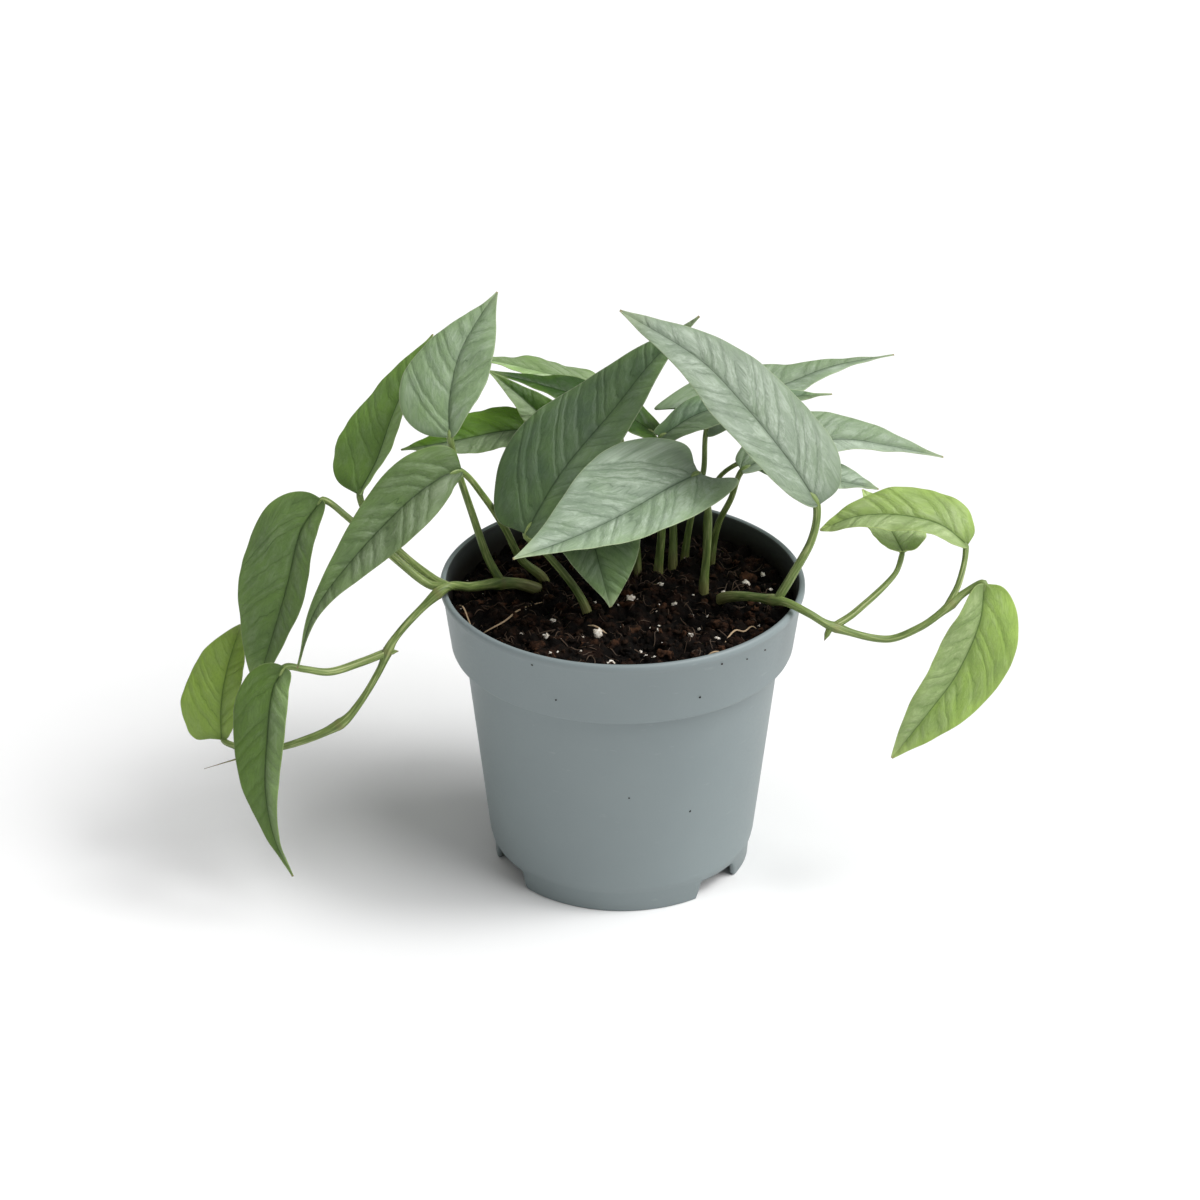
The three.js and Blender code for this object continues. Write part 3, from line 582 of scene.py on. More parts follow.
def leaf_mesh(name, leaf, materials, seed):
    turn = np.linspace(0, 1, ALONG_STEPS)
    t = 0.65 * (1 - np.cos(math.pi * turn)) / 2 + 0.35 * turn
    even = np.linspace(-1, 1, ACROSS_STEPS)
    u = even * (0.7 + 0.3 * np.abs(even))
    rib, ahead, side, normal, length = leaf_frame(leaf, t)
    T, U = np.meshgrid(t, u, indexing="ij")
    A = np.abs(U)
    right = U > 0
    fold = leaf.get("fold", PLAIN_FOLD)
    half = np.where(right, leaf["half"][1], leaf["half"][0])
    lobe = np.where(right, leaf["lobe"][1], leaf["lobe"][0])
    left_form, right_form = leaf.get("form", PLAIN_FORM)
    full = half * np.where(right, leaf_outline(T, right_form), leaf_outline(T, left_form))
    wide = full + BASE_WIDE * (1 - T) + TIP_WIDE * T
    early = T / leaf.get("lobe_at", LOBE_AT)
    back = lobe * early * np.exp(1 - early) * A**LOBE_BEND
    wave = WAVE_HEIGHT * U * A * np.sin(WAVE_RUN * T) * np.minimum(1, full / half)
    lift = wide * (fold * A - BEND_BACK * U * U) + wave
    # fine ripples of the margin, different on each leaf
    draw = random.Random(seed)
    phase = [draw.uniform(0, 6.3) for _ in range(6)]
    short = np.sin(53 * T * (1.2 - 0.2 * T) + phase[1] - 2 * U) * 0.3
    ripple = np.sin(31 * T + phase[0] + U) * 0.5 + short
    lift = lift + RIPPLE * ripple * A**3 * smooth(0, 0.1, T) * smooth(1, 0.9, T)

    # side veins leave the midrib, bend towards the tip and are never quite evenly spaced
    away = A * wide
    place = T * length - back
    start = place - VEIN_LEAN * away - VEIN_BEND * away**2
    spacing = VEIN_SPACING * min(1.0, length / 70 + 0.2)
    radial = 2.2 * start / np.maximum(away, 1.0)
    veins = np.where(start > 0, start, np.maximum(radial, -6) * 1.4) / spacing
    uneven = 0.22 * np.sin(1.9 * veins + phase[3] + 2.5 * right)
    uneven = uneven + 0.12 * np.sin(3.7 * veins + phase[4] - right)
    veins = veins + uneven + 0.35 * right + phase[2]
    edge = (1 - A) * wide

    swell = np.abs(np.sin(math.pi * veins)) ** 0.7
    strength = 0.75 + 0.35 * np.sin(2.3 * veins + phase[5]) * np.sin(0.35 * away + phase[0])
    inside = smooth(0.3, 2.5, away) * smooth(0.0, 3.0, edge) * smooth(1.0, 0.9, T)
    quilt = QUILT * leaf.get("quilt", 1.0) * swell * strength * inside
    groove = GROOVE * np.exp(-((away / GROOVE_WIDE) ** 2)) * (1 - 0.6 * T)
    ridge_height = RIB * (1 - T) ** 1.3 + RIB_AT_TIP
    ridge = ridge_height * np.exp(-((away / (0.45 + 0.6 * (1 - T))) ** 2))

    base = rib[:, None, :] + side[:, None, :] * (U * wide * math.cos(fold))[..., None]
    base = base - ahead[:, None, :] * back[..., None]
    up = normal[:, None, :]
    upper = base + up * (lift + quilt - groove)[..., None]
    thick = BLADE * (0.45 + 0.55 * smooth(0, 1.2, edge))
    lower = base + up * (lift + 0.8 * quilt - thick - ridge)[..., None]
    rows, columns = T.shape

    # each ring runs along the upper side, round the right margin, back below and round the left
    rings = []
    for r in range(rows):
        right_edge = (upper[r, -1] + lower[r, -1]) / 2 + side[r] * ROUNDED
        left_edge = (upper[r, 0] + lower[r, 0]) / 2 - side[r] * ROUNDED
        rings.append(np.vstack([upper[r], right_edge[None], lower[r][::-1], left_edge[None]]))
    sides = 2 * columns + 2
    faces = ring_faces(rows, sides)
    kinds = ([0] * columns + [1] * (columns + 1) + [0]) * (rows - 1)
    last = (rows - 1) * sides
    for first in (0, last):
        for j in range(columns):
            across = sides - 1 - j
            cap = (first + j, first + j + 1, first + across - 1, first + across)
            faces.append(cap if first else cap[::-1])
            kinds.append(1)

    def wrap(values):
        return np.hstack([values, values[:, -1:], values[:, ::-1], values[:, :1]]).ravel()

    over_rib = smooth(-0.5, 0.5, U * wide)
    halves = leaf["silver"], leaf["fresh"], leaf["painted_light"]
    tint = [on_left + (on_right - on_left) * over_rib for on_left, on_right in halves]
    attributes = {
        "place": np.stack([wrap(T), wrap(U), wrap(edge)], axis=1),
        "flow": np.stack([wrap(veins), wrap(away), wrap(5.3 * seed + 2.9 * right)], axis=1),
        "tint": np.stack([wrap(values) for values in tint], axis=1),
    }
    piece = new_object(
        name + "_blade", metres(np.vstack(rings)), faces,
        materials, attributes, kinds
    )
    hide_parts(name)


# ---- stems
# path: points it passes through, up to the leaf that it carries, which for a stalk is the leaf of
# its own number. radius: at even steps from start to end. up: the side of its groove, if not the
# back. knots: shares of the path where a runner swells at a leaf joint. point: a dry pointed end.
STEMS = {
    "vine_left": dict(
        path=[
            (-20, 10, 82), (-25, 11, 90), (-33, 10, 94.5), (-41, 7, 96.5), (-50, -3, 100.5),
            (-57, -12, 105.2), (-64, -16, 101), (-74.5, -20, 90), (-79.5, -22, 79.5),
            (-86, -24.5, 69), (-92, -26, 62.3), (-105, -26.5, 55.8), (-128, -21, 45.5),
            (-139, -16, 39),
        ],
        radius=(1.9, 1.7, 1.25, 1.15, 2, 0.6), knots=(0.16, 0.35, 0.5, 0.68), up=(0.5, 0.8, 0),
        point=True,
    ),
    "stalk_06": dict(
        path=[(-40, 7.5, 96.5), (-44.5, 9, 105), (-49.5, 9.5, 121.5), (-53.5, 6, 138)],
        radius=(1.4, 1), up=(0, 1, 0.2),
    ),
    "stalk_05": dict(
        path=[(-57, -12, 105.2), (-62, -7, 105.5), (-72, 1, 110), (-83, 9, 119)], radius=(1.4, 1),
        up=(0.3, 1, 0),
    ),
    "stalk_02": dict(
        path=[(-57, -12, 105.2), (-63, -10.5, 105.2), (-72, -8, 111.5), (-90, -2, 126)],
        radius=(1.4, 1),
    ),
    "stalk_04": dict(
        path=[(-77.5, -21, 85.5), (-85, -23.5, 83.5), (-95, -28, 82.4), (-103, -32, 85.7)],
        radius=(1.3, 1.1), up=(0, 0, 1),
    ),
    "stalk_01": dict(
        path=[(-124, -22, 47.3), (-127.5, -20, 49.5), (-131, -17, 49.5)], radius=(1, 0.9),
    ),
    "stub_left": dict(
        path=[(-77, -21, 85.5), (-75, -21.2, 86.2), (-73, -21.2, 86.4)], radius=(1.1, 0.7),
        point=True,
    ),
    "stalk_03": dict(
        path=[
            (-25, 17, 84), (-26, 16, 93), (-33.5, 13.5, 102), (-38.5, 11.5, 114.2),
            (-45.3, 7, 128.4),
        ],
        radius=(1.4, 1),
    ),
    "stalk_10": dict(
        path=[(-10, -7, 84), (-12, -7, 94.5), (-16.5, -7, 103.5), (-27, -6, 117)],
        radius=(1.4, 1.1),
    ),
    "stalk_11": dict(
        path=[(27, 8, 84), (27, 8, 95), (28, 9, 110), (28, 9, 123)], radius=(1.5, 1.1),
    ),
    "stalk_15": dict(
        path=[(29, 27, 84), (30, 27, 96), (32, 24, 110), (36, 21, 121)], radius=(1.3, 0.9),
    ),
    "stalk_14": dict(
        path=[(21, 29, 84), (21, 29, 94), (23, 30, 109), (27, 31, 126)], radius=(1.3, 0.8),
    ),
    "stalk_12": dict(
        path=[(12, 20, 84), (12, 20, 94), (13, 19, 109), (13, 20, 130)], radius=(1.5, 1.1),
    ),
    "stalk_20": dict(
        path=[(5, 20, 84), (5, 20, 95), (4, 18, 107), (-4, 13, 121)], radius=(1.4, 1.1),
    ),
    "stalk_09": dict(
        path=[(17, 27, 84), (17, 27, 93), (17, 32, 106), (14, 38, 120)], radius=(1.4, 1.1),
    ),
    "stalk_08": dict(
        path=[(3, 32, 84), (3, 32, 94), (3, 38, 108), (0, 49, 126)], radius=(1.4, 1.1),
    ),
    "stalk_07": dict(
        path=[(-14, 26, 84), (-15, 26, 94), (-18, 29, 110), (-24, 33, 126)], radius=(1.4, 1.1),
    ),
    "stalk_21": dict(
        path=[(-4, 24, 84), (-5, 24, 94), (-8, 24, 106), (-10, 25, 118)], radius=(1.4, 1.1),
    ),
    "stalk_16": dict(
        path=[(28.5, 37, 84), (28.5, 37, 94), (28.5, 36, 108), (32, 33.5, 122)], radius=(1.1, 0.7),
    ),
    "vine_right": dict(
        path=[
            (31, 6, 83), (32, 2.5, 92.5), (39, -4.5, 97.8), (49, -17, 103), (53.5, -22.5, 104.8),
            (60, -27, 103.4), (67, -28, 99.5), (85, -27, 94), (96, -25.5, 97.5),
            (104.5, -22.5, 102.7), (110, -19.5, 106.5),
        ],
        radius=(1.8, 1.5, 1.2, 1.2, 1.1), knots=(0.31, 0.52, 0.86), up=(0.3, 1, 0), leaf="leaf_19",
    ),
    "stalk_13": dict(path=[(50, -18, 103.4), (55, -18, 113), (61, -16, 125)], radius=(1.5, 1.2)),
    "stalk_18": dict(
        path=[(68, -28, 99), (75, -24, 102), (88, -14, 110.5)], radius=(1.15, 0.8), up=(0, 0, 1),
    ),
    "stalk_17": dict(
        path=[(104.5, -22.5, 102.7), (109, -17, 109.5)], radius=(1.2, 0.9), up=(1, 0, 0),
    ),
    "stub_right": dict(
        path=[(67, -28, 99.2), (65.8, -29.3, 96.8), (65, -30.2, 95.2)], radius=(1.2, 0.7),
        up=(0, 0, 1), point=True,
    ),
}
RUNNERS = {
    "vine_left": [
        "vine_left", "stalk_06", "stalk_05", "stalk_02", "stalk_04", "stalk_01", "stub_left",
    ],
    "vine_right": ["vine_right", "stalk_13", "stalk_18", "stalk_17", "stub_right"],
}
STEM_SIDES = 20
STEM_STEP = 0.9  # mm between rings
KNOT_SWELL = 0.5  # how far a leaf joint stands out of its runner, and over what length
KNOT_LENGTH = 3.5
SCAR_SWELL = 0.15  # the thin brown ring in the middle of a joint
SCAR_LENGTH = 0.6
JOINT_BACK = 4.5  # where a stalk swells below its leaf, by what share and over what length
JOINT_SWELL = 0.12
JOINT_LENGTH = 2.6
FOOT_SWELL = 0.3  # a stem is thicker and browner where it leaves the soil
FOOT_ENDS = 26, 16  # mm along it between which that fades
UNDER_LEAF = 0.07  # share of the midrib that the stalk's end runs under
GROOVE_DEPTH = 0.2  # share of the radius
GROOVE_ANGLE = 0.38  # radians from its middle to its sides
LIP_ANGLE = 0.75  # where the sheath's thin edges stand, and how wide they are, in radians
LIP_WIDTH = 0.22
STREAK_ROUND = 2.2  # how many streaks lie round a stem, and how short they are
STREAK_ALONG = 0.12


def stem_material():
    """Attribute stem = (brown of joints and feet, pale edges, pale end below a leaf); attribute
    streak = the stem's surface unrolled and drawn out along it."""
    s = Shader("stem")
    brown, pale, end = s.split(s.attribute("stem").outputs["Vector"])
    streak = s.noise(s.attribute("streak").outputs["Vector"], 1.0, 3)
    cloud = s.noise(s.position(), 140.0, 4)
    colour = s.mix(cloud, srgb(92, 113, 52), srgb(130, 149, 84))
    colour = s.mix(s.span(streak, 0.5, 0.68, 0.0, 0.7), colour, srgb(172, 184, 122))
    colour = s.mix(s.span(streak, 0.5, 0.32, 0.0, 0.6), colour, srgb(62, 84, 34))
    colour = s.mix(s.times(pale, 0.7), colour, srgb(178, 188, 132))
    colour = s.mix(s.times(end, 0.35), colour, srgb(124, 146, 88))
    colour = s.mix(brown, colour, srgb(124, 104, 70))
    s.surface(
        Base_Color=colour,
        Roughness=s.plus(0.4, s.times(cloud, 0.2)),
        Normal=s.bump(s.plus(cloud, streak), 0.35, 0.0003),
        Specular_IOR_Level=0.4,
        Subsurface_Weight=0.12,
        Subsurface_Radius=(0.0015, 0.002, 0.0006),
    )
    return s.material


def stem_rings(name):
    """Rings of one tube, in mm, with their attributes. It ends under the leaf that it carries."""
    stem = STEMS[name]
    points = [np.array(p, float) for p in stem["path"]]
    leaf = LEAVES.get(stem.get("leaf", name.replace("stalk", "leaf")))
    if leaf:
        rib, _, _, normal, _ = leaf_frame(leaf, np.array([0.0, UNDER_LEAF]))
        points.append(rib[0] - normal[0] * (stem["radius"][-1] + 0.3))
        points.append(rib[1] - normal[1] * 0.9)
    path = Path(points)
    count = max(6, int(path.length / STEM_STEP))
    t = np.linspace(0, 1, count)
    centre = path.at(t)
    ahead = path.ahead(t)
    across = unit(np.cross(np.array(stem.get("up", (0, 1, 0)), float), ahead))
    over = np.cross(ahead, across)
    radius = np.interp(t, np.linspace(0, 1, len(stem["radius"])), stem["radius"])
    run = t * path.length
    brown = np.zeros(count)
    end = np.zeros(count)
    for knot in stem.get("knots", ()):
        near = (t - knot) * path.length
        radius = radius + KNOT_SWELL * np.exp(-((near / KNOT_LENGTH) ** 2))
        radius = radius + SCAR_SWELL * np.exp(-((near / SCAR_LENGTH) ** 2))
        brown = np.maximum(brown, 0.35 * np.exp(-((near / 0.9) ** 2)))
    if leaf:
        joint = path.length - JOINT_BACK
        radius = radius * (1 + JOINT_SWELL * np.exp(-(((run - joint) / JOINT_LENGTH) ** 2)))
        radius = radius * (1 - 0.75 * smooth(joint + 1.5, path.length, run))
        end = smooth(path.length - 8, path.length - 1, run)
    if points[0][2] < SOIL_LEVEL and math.hypot(points[0][0], points[0][1]) < SOIL_RADIUS:
        above = centre[:, 2] - SOIL_LEVEL
        foot = smooth(*FOOT_ENDS, run)
        radius = radius + FOOT_SWELL * np.exp(-((above / 5) ** 2)) * foot
        brown = np.maximum(brown, 0.45 * (smooth(7, 1, above) * foot))
    if stem.get("point"):
        radius = radius * (1 - smooth(0.6, 1.0, t) * 0.85)
        brown = np.maximum(brown, smooth(0.85, 1.0, t))
    angle = math.tau * (np.arange(STEM_SIDES) + 0.5) / STEM_SIDES
    gap = np.abs((angle - math.pi / 2 + math.pi) % math.tau - math.pi)
    groove = np.exp(-((gap / GROOVE_ANGLE) ** 2))
    lips = np.exp(-(((gap - LIP_ANGLE) / LIP_WIDTH) ** 2))
    petiole = 1.0 if leaf and "knots" not in stem else 0.0
    winged = petiole * smooth(0.75, 0.45, t)
    shape = 1 - petiole * GROOVE_DEPTH * groove[None, :] + winged[:, None] * 0.2 * lips[None, :]
    ring = swept(centre, across, over, angle, radius[:, None] * shape)
    every_side = np.ones(STEM_SIDES)
    every_ring = np.ones(count)
    pale = winged[:, None] * lips[None, :]
    facts = np.stack([np.outer(brown, every_side), pale, np.outer(end, every_side)], axis=2)
    streaks = np.stack(
        [
            np.outer(every_ring, STREAK_ROUND * np.cos(angle)),
            np.outer(every_ring, STREAK_ROUND * np.sin(angle)),
            np.outer(run * STREAK_ALONG + centre[0, 0], every_side),
        ],
        axis=2,
    )
    return ring, facts, streaks


def stem_piece(node, names, material):
    points, faces, facts, streaks = [], [], [], []
    for name in names:
        ring, fact, streak = stem_rings(name)
        faces += tube_faces(ring.shape[0], STEM_SIDES, sum(len(p) for p in points))
        points.append(ring.reshape(-1, 3))
        facts.append(fact.reshape(-1, 3))
        streaks.append(streak.reshape(-1, 3))
    piece = new_object(
        node + "_stem", metres(np.vstack(points)), faces, [material],
        {"stem": np.vstack(facts), "streak": np.vstack(streaks)},
    )
    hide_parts(node)


# ---- pot
DRILL_SIDES = 40
DRILL_PAST = 2  # how far the drill reaches past the base, above and below
NOTCHES = [(-41.5, 25), (-153, 28), (82, 26)]  # middle and width in degrees round from +X
POT_TURNS = 288
POT_OUTSIDE = [
    (FOOT_RADIUS + 0.4, FOOT_HEIGHT), (44.1, 8.2), (44.6, 10.5), (52.1, 77), (52.35, 77.7),
    (53.2, 78.2), (55.2, 78.5), (56.2, 79.0), (56.6, 80.0), (59.1, 98.6), (59.7, 99.3),
    (60.0, 100.2), (60.0, 101.1), (59.75, 101.7), (59.2, 102.0),
]  # radius and height, from the base up to the lip
POT_INSIDE = [
    (58.6, 102.0), (58.1, 101.7), (57.9, 101.0), (57.6, 98), (55.3, 80.6), (54.6, 79.8),
    (50.7, 78), (43.2, 11), (41.8, BASE_TOP),
]  # and down again to the base


def pot_material(name, inner):
    s = Shader(name)
    position = s.position()
    cloud = s.noise(position, 30.0, 3)
    grain = s.noise(position, 900.0, 2)
    x, y, z = s.split(position)
    colour = s.mix(cloud, srgb(124, 135, 137), srgb(133, 144, 145))
    drawn_out = s.join(s.times(x, 3.0), y, s.times(z, 12.0))
    scuff = s.span(s.noise(drawn_out, 60.0, 4), 0.66, 0.74)
    colour = s.mix(s.times(scuff, 0.12), colour, srgb(170, 178, 178))
    if inner:
        # painted shade: the inner wall is painted darker than the outer plastic, from grey under
        # the rim to near-black brown at the soil
        painted_shade = s.span(z, 0.1008, 0.094)
        painted_shade_colour = s.mix(s.noise(position, 120.0, 5), srgb(40, 36, 30), srgb(18, 14, 10))
        colour = s.mix(painted_shade, srgb(72, 76, 76), painted_shade_colour)
    s.surface(
        Base_Color=colour,
        Roughness=s.plus(0.42, s.times(grain, 0.14)),
        Normal=s.bump(grain, 0.08, 0.0002),
        Specular_IOR_Level=0.45,
    )
    return s.material


def notch_height(angle):
    """How far the foot is cut away above the ground at an angle in degrees."""
    height = 0.0
    for middle, width in NOTCHES:
        off = abs((angle - middle + 180) % 360 - 180)
        height = max(height, NOTCH_HEIGHT * float(smooth(width / 2 + 0.9, width / 2 - 1.6, off)))
    return height


def build_pot():
    rows = []
    angles = [360 * i / POT_TURNS for i in range(POT_TURNS)]

    def ring(radius, height):
        points = []
        for a in angles:
            r = radius(a) if callable(radius) else radius
            h = height(a) if callable(height) else height
            points.append((r * math.cos(math.radians(a)), r * math.sin(math.radians(a)), h))
        rows.append(points)

    inner_foot = FOOT_RADIUS - WALL
    ring(inner_foot, FOOT_HEIGHT)
    ring(inner_foot, lambda a: notch_height(a) + 0.25)
    ring(inner_foot + 0.25, notch_height)
    ring(FOOT_RADIUS - 0.3, notch_height)
    ring(
        lambda a: FOOT_RADIUS + 0.4 * notch_height(a) / FOOT_HEIGHT,
        lambda a: notch_height(a) + 0.3,
    )
    outer_rows = len(rows) + len(POT_OUTSIDE) + 1
    for radius, height in POT_OUTSIDE + POT_INSIDE:
        ring(radius, height)
    points = np.array([p for row in rows for p in row])
    faces = ring_faces(len(rows), POT_TURNS)
    kinds = [0] * (outer_rows * POT_TURNS) + [1] * ((len(rows) - 1 - outer_rows) * POT_TURNS)
    below, above = len(points), len(points) + 1
    points = np.vstack([points, [(0, 0, FOOT_HEIGHT)], [(0, 0, BASE_TOP)]])
    last = (len(rows) - 1) * POT_TURNS
    for i in range(POT_TURNS):
        j = (i + 1) % POT_TURNS
        faces.append((below, j, i))
        faces.append((above, last + i, last + j))
        kinds += [0, 1]
    materials = [pot_material("pot", False), pot_material("pot_inner", True)]
    piece = new_object("pot_shell", metres(points), faces, materials, None, kinds)
    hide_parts("pot")
    return piece


def drill_drains(piece):
    """Cuts the drain holes through the base."""
    places = [(0.0, 0.0)]
    for middle, _ in NOTCHES:
        a = math.radians(middle)
        places.append((DRAIN_RING * math.cos(a), DRAIN_RING * math.sin(a)))
    for x, y in places:
        low = circle(DRAIN_RADIUS, FOOT_HEIGHT - DRILL_PAST, DRILL_SIDES)
        high = circle(DRAIN_RADIUS, BASE_TOP + DRILL_PAST, DRILL_SIDES)
        ring = [(x + px, y + py, z) for px, py, z in low + high]
        faces = tube_faces(2, DRILL_SIDES, 0)
        mesh = bpy.data.meshes.new("drill")
        mesh.from_pydata([tuple(p) for p in metres(ring)], [], faces)
        drill = bpy.data.objects.new("drill", mesh)
        bpy.context.scene.collection.objects.link(drill)
        cut = piece.modifiers.new("drain", "BOOLEAN")
        cut.operation = "DIFFERENCE"
        cut.solver = "EXACT"
        cut.object = drill
        bpy.context.view_layer.update()
        evaluated = piece.evaluated_get(bpy.context.evaluated_depsgraph_get())
        new_mesh = bpy.data.meshes.new_from_object(evaluated)
        piece.modifiers.clear()
        old = piece.data
        piece.data = new_mesh
        bpy.data.meshes.remove(old)
        bpy.data.objects.remove(drill)
        bpy.data.meshes.remove(mesh)
    piece.data.name = "pot_shell"


# ---- soil
SOIL_TURNS = 360
SOIL_ROWS = 96
SOIL_BOTTOM = BASE_TOP + 0.3
SOIL_WALL = [(41.2, SOIL_BOTTOM), (42.7, 11.5), (50.2, 78.4), (55.0, 80.9)]  # radius and height
# painted shade: the gaps are painted darker between these heights
SOIL_TOP_OF_GAPS = 0.0942  # heights in metres between which the gaps darken
SOIL_FLOOR_OF_GAPS = 0.0914
CLOD_SIZE, CLOD_HEIGHT = 6.4, 3.4  # the larger lumps, and the crumbs on them
CRUMB_SIZE, CRUMB_HEIGHT = 2.6, 1.3
CLODS_SUNK = 2.9  # that takes the two back to the soil's level
NOISE_SEED = 1795486871
noise.seed_set(NOISE_SEED)  # noise_vector takes its start from the clock if it is given none


def clod(x, y, size):
    """1 in the middle of a crumb of this size in mm, falling to 0 in the gaps between crumbs."""
    place = Vector((x / size, y / size, 2.0 * size))
    place += 0.35 * noise.noise_vector(place * 1.7)
    return max(0.0, 1 - (noise.voronoi(place)[0][0] / 0.75) ** 2)


STEM_FEET = [stem["path"][1] for stem in STEMS.values() if stem["path"][0][2] < SOIL_LEVEL]


def soil_height(x, y):
    """Small mounds and hollows, with the crumbs and gaps of loose potting mix, in mm."""
    broad = 0.9 * math.sin(0.11 * x + 0.4) * math.cos(0.09 * y - 0.3)
    large = CLOD_HEIGHT * clod(x, y, CLOD_SIZE)
    crumbs = large + CRUMB_HEIGHT * clod(x + 40, y, CRUMB_SIZE) - CLODS_SUNK
    rough = 0.6 * noise.fractal(Vector((x * 0.3, y * 0.3, 3.1)), 0.7, 2.1, 5)
    mound = 0.0
    for foot in STEM_FEET:
        away = (x - foot[0]) ** 2 + (y - foot[1]) ** 2
        mound = max(mound, 1.4 * math.exp(-away / 10))
    return SOIL_LEVEL + broad + crumbs + rough + mound


def soil_material(name, dark, light, bump):
    s = Shader(name)
    position = s.position()
    coarse = s.noise(position, 260.0, 5, 0.65)
    fine = s.noise(position, 1400.0, 4, 0.7)
    red = s.span(s.noise(position, 180.0, 3), 0.5, 0.66)
    colour = s.mix(s.span(coarse, 0.38, 0.68), dark, light)
    colour = s.mix(s.times(red, 0.3), colour, srgb(66, 40, 27))
    colour = s.mix(s.span(fine, 0.62, 0.8, 0.0, 0.4), colour, srgb(92, 70, 52))
    # all that lies low, which in the bed is the gaps between crumbs, is painted almost black:
    # painted shade in the hollows
    _, _, z = s.split(position)
    gaps = s.span(z, SOIL_TOP_OF_GAPS, SOIL_FLOOR_OF_GAPS, 0.0, 0.85)
    colour = s.mix(gaps, colour, srgb(4, 3, 2))
    s.surface(
        Base_Color=colour,
        Roughness=s.span(fine, 0.2, 0.8, 0.7, 0.95),
        Normal=s.bump(s.plus(coarse, s.times(fine, 0.6)), bump, 0.0012),
        Specular_IOR_Level=0.12,
    )
    return s.material


def build_soil():
    points, faces = [], []
    for r in range(SOIL_ROWS):
        for x, y, _ in circle(SOIL_RADIUS * (1 - r / SOIL_ROWS), 0, SOIL_TURNS):
            points.append((x, y, soil_height(x, y)))
    wall = []
    for radius, height in SOIL_WALL:
        wall += circle(radius, height, SOIL_TURNS)
    points = wall + points
    rows = len(SOIL_WALL) + SOIL_ROWS
    faces = ring_faces(rows, SOIL_TURNS)
    points.append((0, 0, soil_height(0, 0)))
    points.append((0, 0, SOIL_BOTTOM))
    top, bottom = len(points) - 2, len(points) - 1
    last = (rows - 1) * SOIL_TURNS
    for i in range(SOIL_TURNS):
        j = (i + 1) % SOIL_TURNS
        faces.append((last + i, last + j, top))
        faces.append((j, i, bottom))
    material = soil_material("soil", srgb(9, 6, 4), srgb(27, 18, 12), 1.0)
    piece = new_object("soil_bed", metres(points), faces, [material])
    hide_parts("soil")


def icosphere(subdivisions):
    """Unit points and triangles of a ball made from an icosahedron."""
    g = (1 + math.sqrt(5)) / 2
    points = [
        (-1, g, 0), (1, g, 0), (-1, -g, 0), (1, -g, 0), (0, -1, g), (0, 1, g),
        (0, -1, -g), (0, 1, -g), (g, 0, -1), (g, 0, 1), (-g, 0, -1), (-g, 0, 1),
    ]
    points = [Vector(p).normalized() for p in points]
    faces = [
        (0, 11, 5), (0, 5, 1), (0, 1, 7), (0, 7, 10), (0, 10, 11), (1, 5, 9), (5, 11, 4),
        (11, 10, 2), (10, 7, 6), (7, 1, 8), (3, 9, 4), (3, 4, 2), (3, 2, 6), (3, 6, 8),
        (3, 8, 9), (4, 9, 5), (2, 4, 11), (6, 2, 10), (8, 6, 7), (9, 8, 1),
    ]
    for _ in range(subdivisions):
        middle = {}
        split = []
        for a, b, c in faces:
            halves = []
            for pair in ((a, b), (b, c), (c, a)):
                key = tuple(sorted(pair))
                if key not in middle:
                    middle[key] = len(points)
                    points.append((points[key[0]] + points[key[1]]).normalized())
                halves.append(middle[key])
            ab, bc, ca = halves
            split += [(a, ab, ca), (b, bc, ab), (c, ca, bc), (ab, bc, ca)]
        faces = split
    return np.array([tuple(p) for p in points]), faces


def lump(draw, ball, size, flat, rough):
    """An irregular grain: a ball squeezed along its own axes, pitted and turned at random."""
    spans = [draw.uniform(0.75, 1.3), draw.uniform(0.6, 1.0), draw.uniform(0.5, 1.0) * flat]
    shape = ball * np.array(spans)
    seed = Vector((draw.uniform(0, 50), draw.uniform(0, 50), draw.uniform(0, 50)))
    pits = np.array([1 + rough * noise.noise(Vector(tuple(p * 1.6)) + seed) for p in ball])
    tip = Matrix.Rotation(draw.uniform(0, math.tau), 3, "X")
    turn = tip @ Matrix.Rotation(draw.uniform(0, math.tau), 3, "Z")
    return (shape * pits[:, None] * size) @ np.array(turn).T


def scatter(draw, radius):
    r = radius * math.sqrt(draw.random())
    a = draw.uniform(0, math.tau)
    return r * math.cos(a), r * math.sin(a)


def grain_piece(name, grains, triangles, material):
    """One piece of many grains. Each is its own list of points, in mm."""
    size = len(grains[0])
    faces = [tuple(k * size + i for i in face) for k in range(len(grains)) for face in triangles]
    new_object(name, metres(np.vstack(grains)), faces, [material])


def loose_grains(name, seed, count, small, large, ball, triangles, material):
    """Grains strewn over the soil, most of them near the small size."""
    draw = random.Random(seed)
    grains = []
    for _ in range(count):
        x, y = scatter(draw, SOIL_RADIUS - 0.8 - large)
        size = small + (large - small) * draw.random() ** 2.2
        grain = lump(draw, ball, size, 0.85, 0.9)
        z = soil_height(x, y) + size * draw.uniform(-0.2, 0.4)
        grains.append(grain + np.array([x, y, z]))
    grain_piece(name, grains, triangles, material)


def build_crumbs():
    # name, seed, count, smallest and largest size in mm
    crumb = soil_material("soil_crumbs", srgb(14, 9, 6), srgb(50, 34, 23), 0.8)
    loose_grains("soil_crumbs", 11, 2000, 0.3, 1.3, *icosphere(1), crumb)
    chunk = soil_material("soil_chunks", srgb(22, 14, 9), srgb(84, 56, 38), 0.9)
    loose_grains("soil_chunks", 17, 170, 1.0, 2.4, *icosphere(2), chunk)


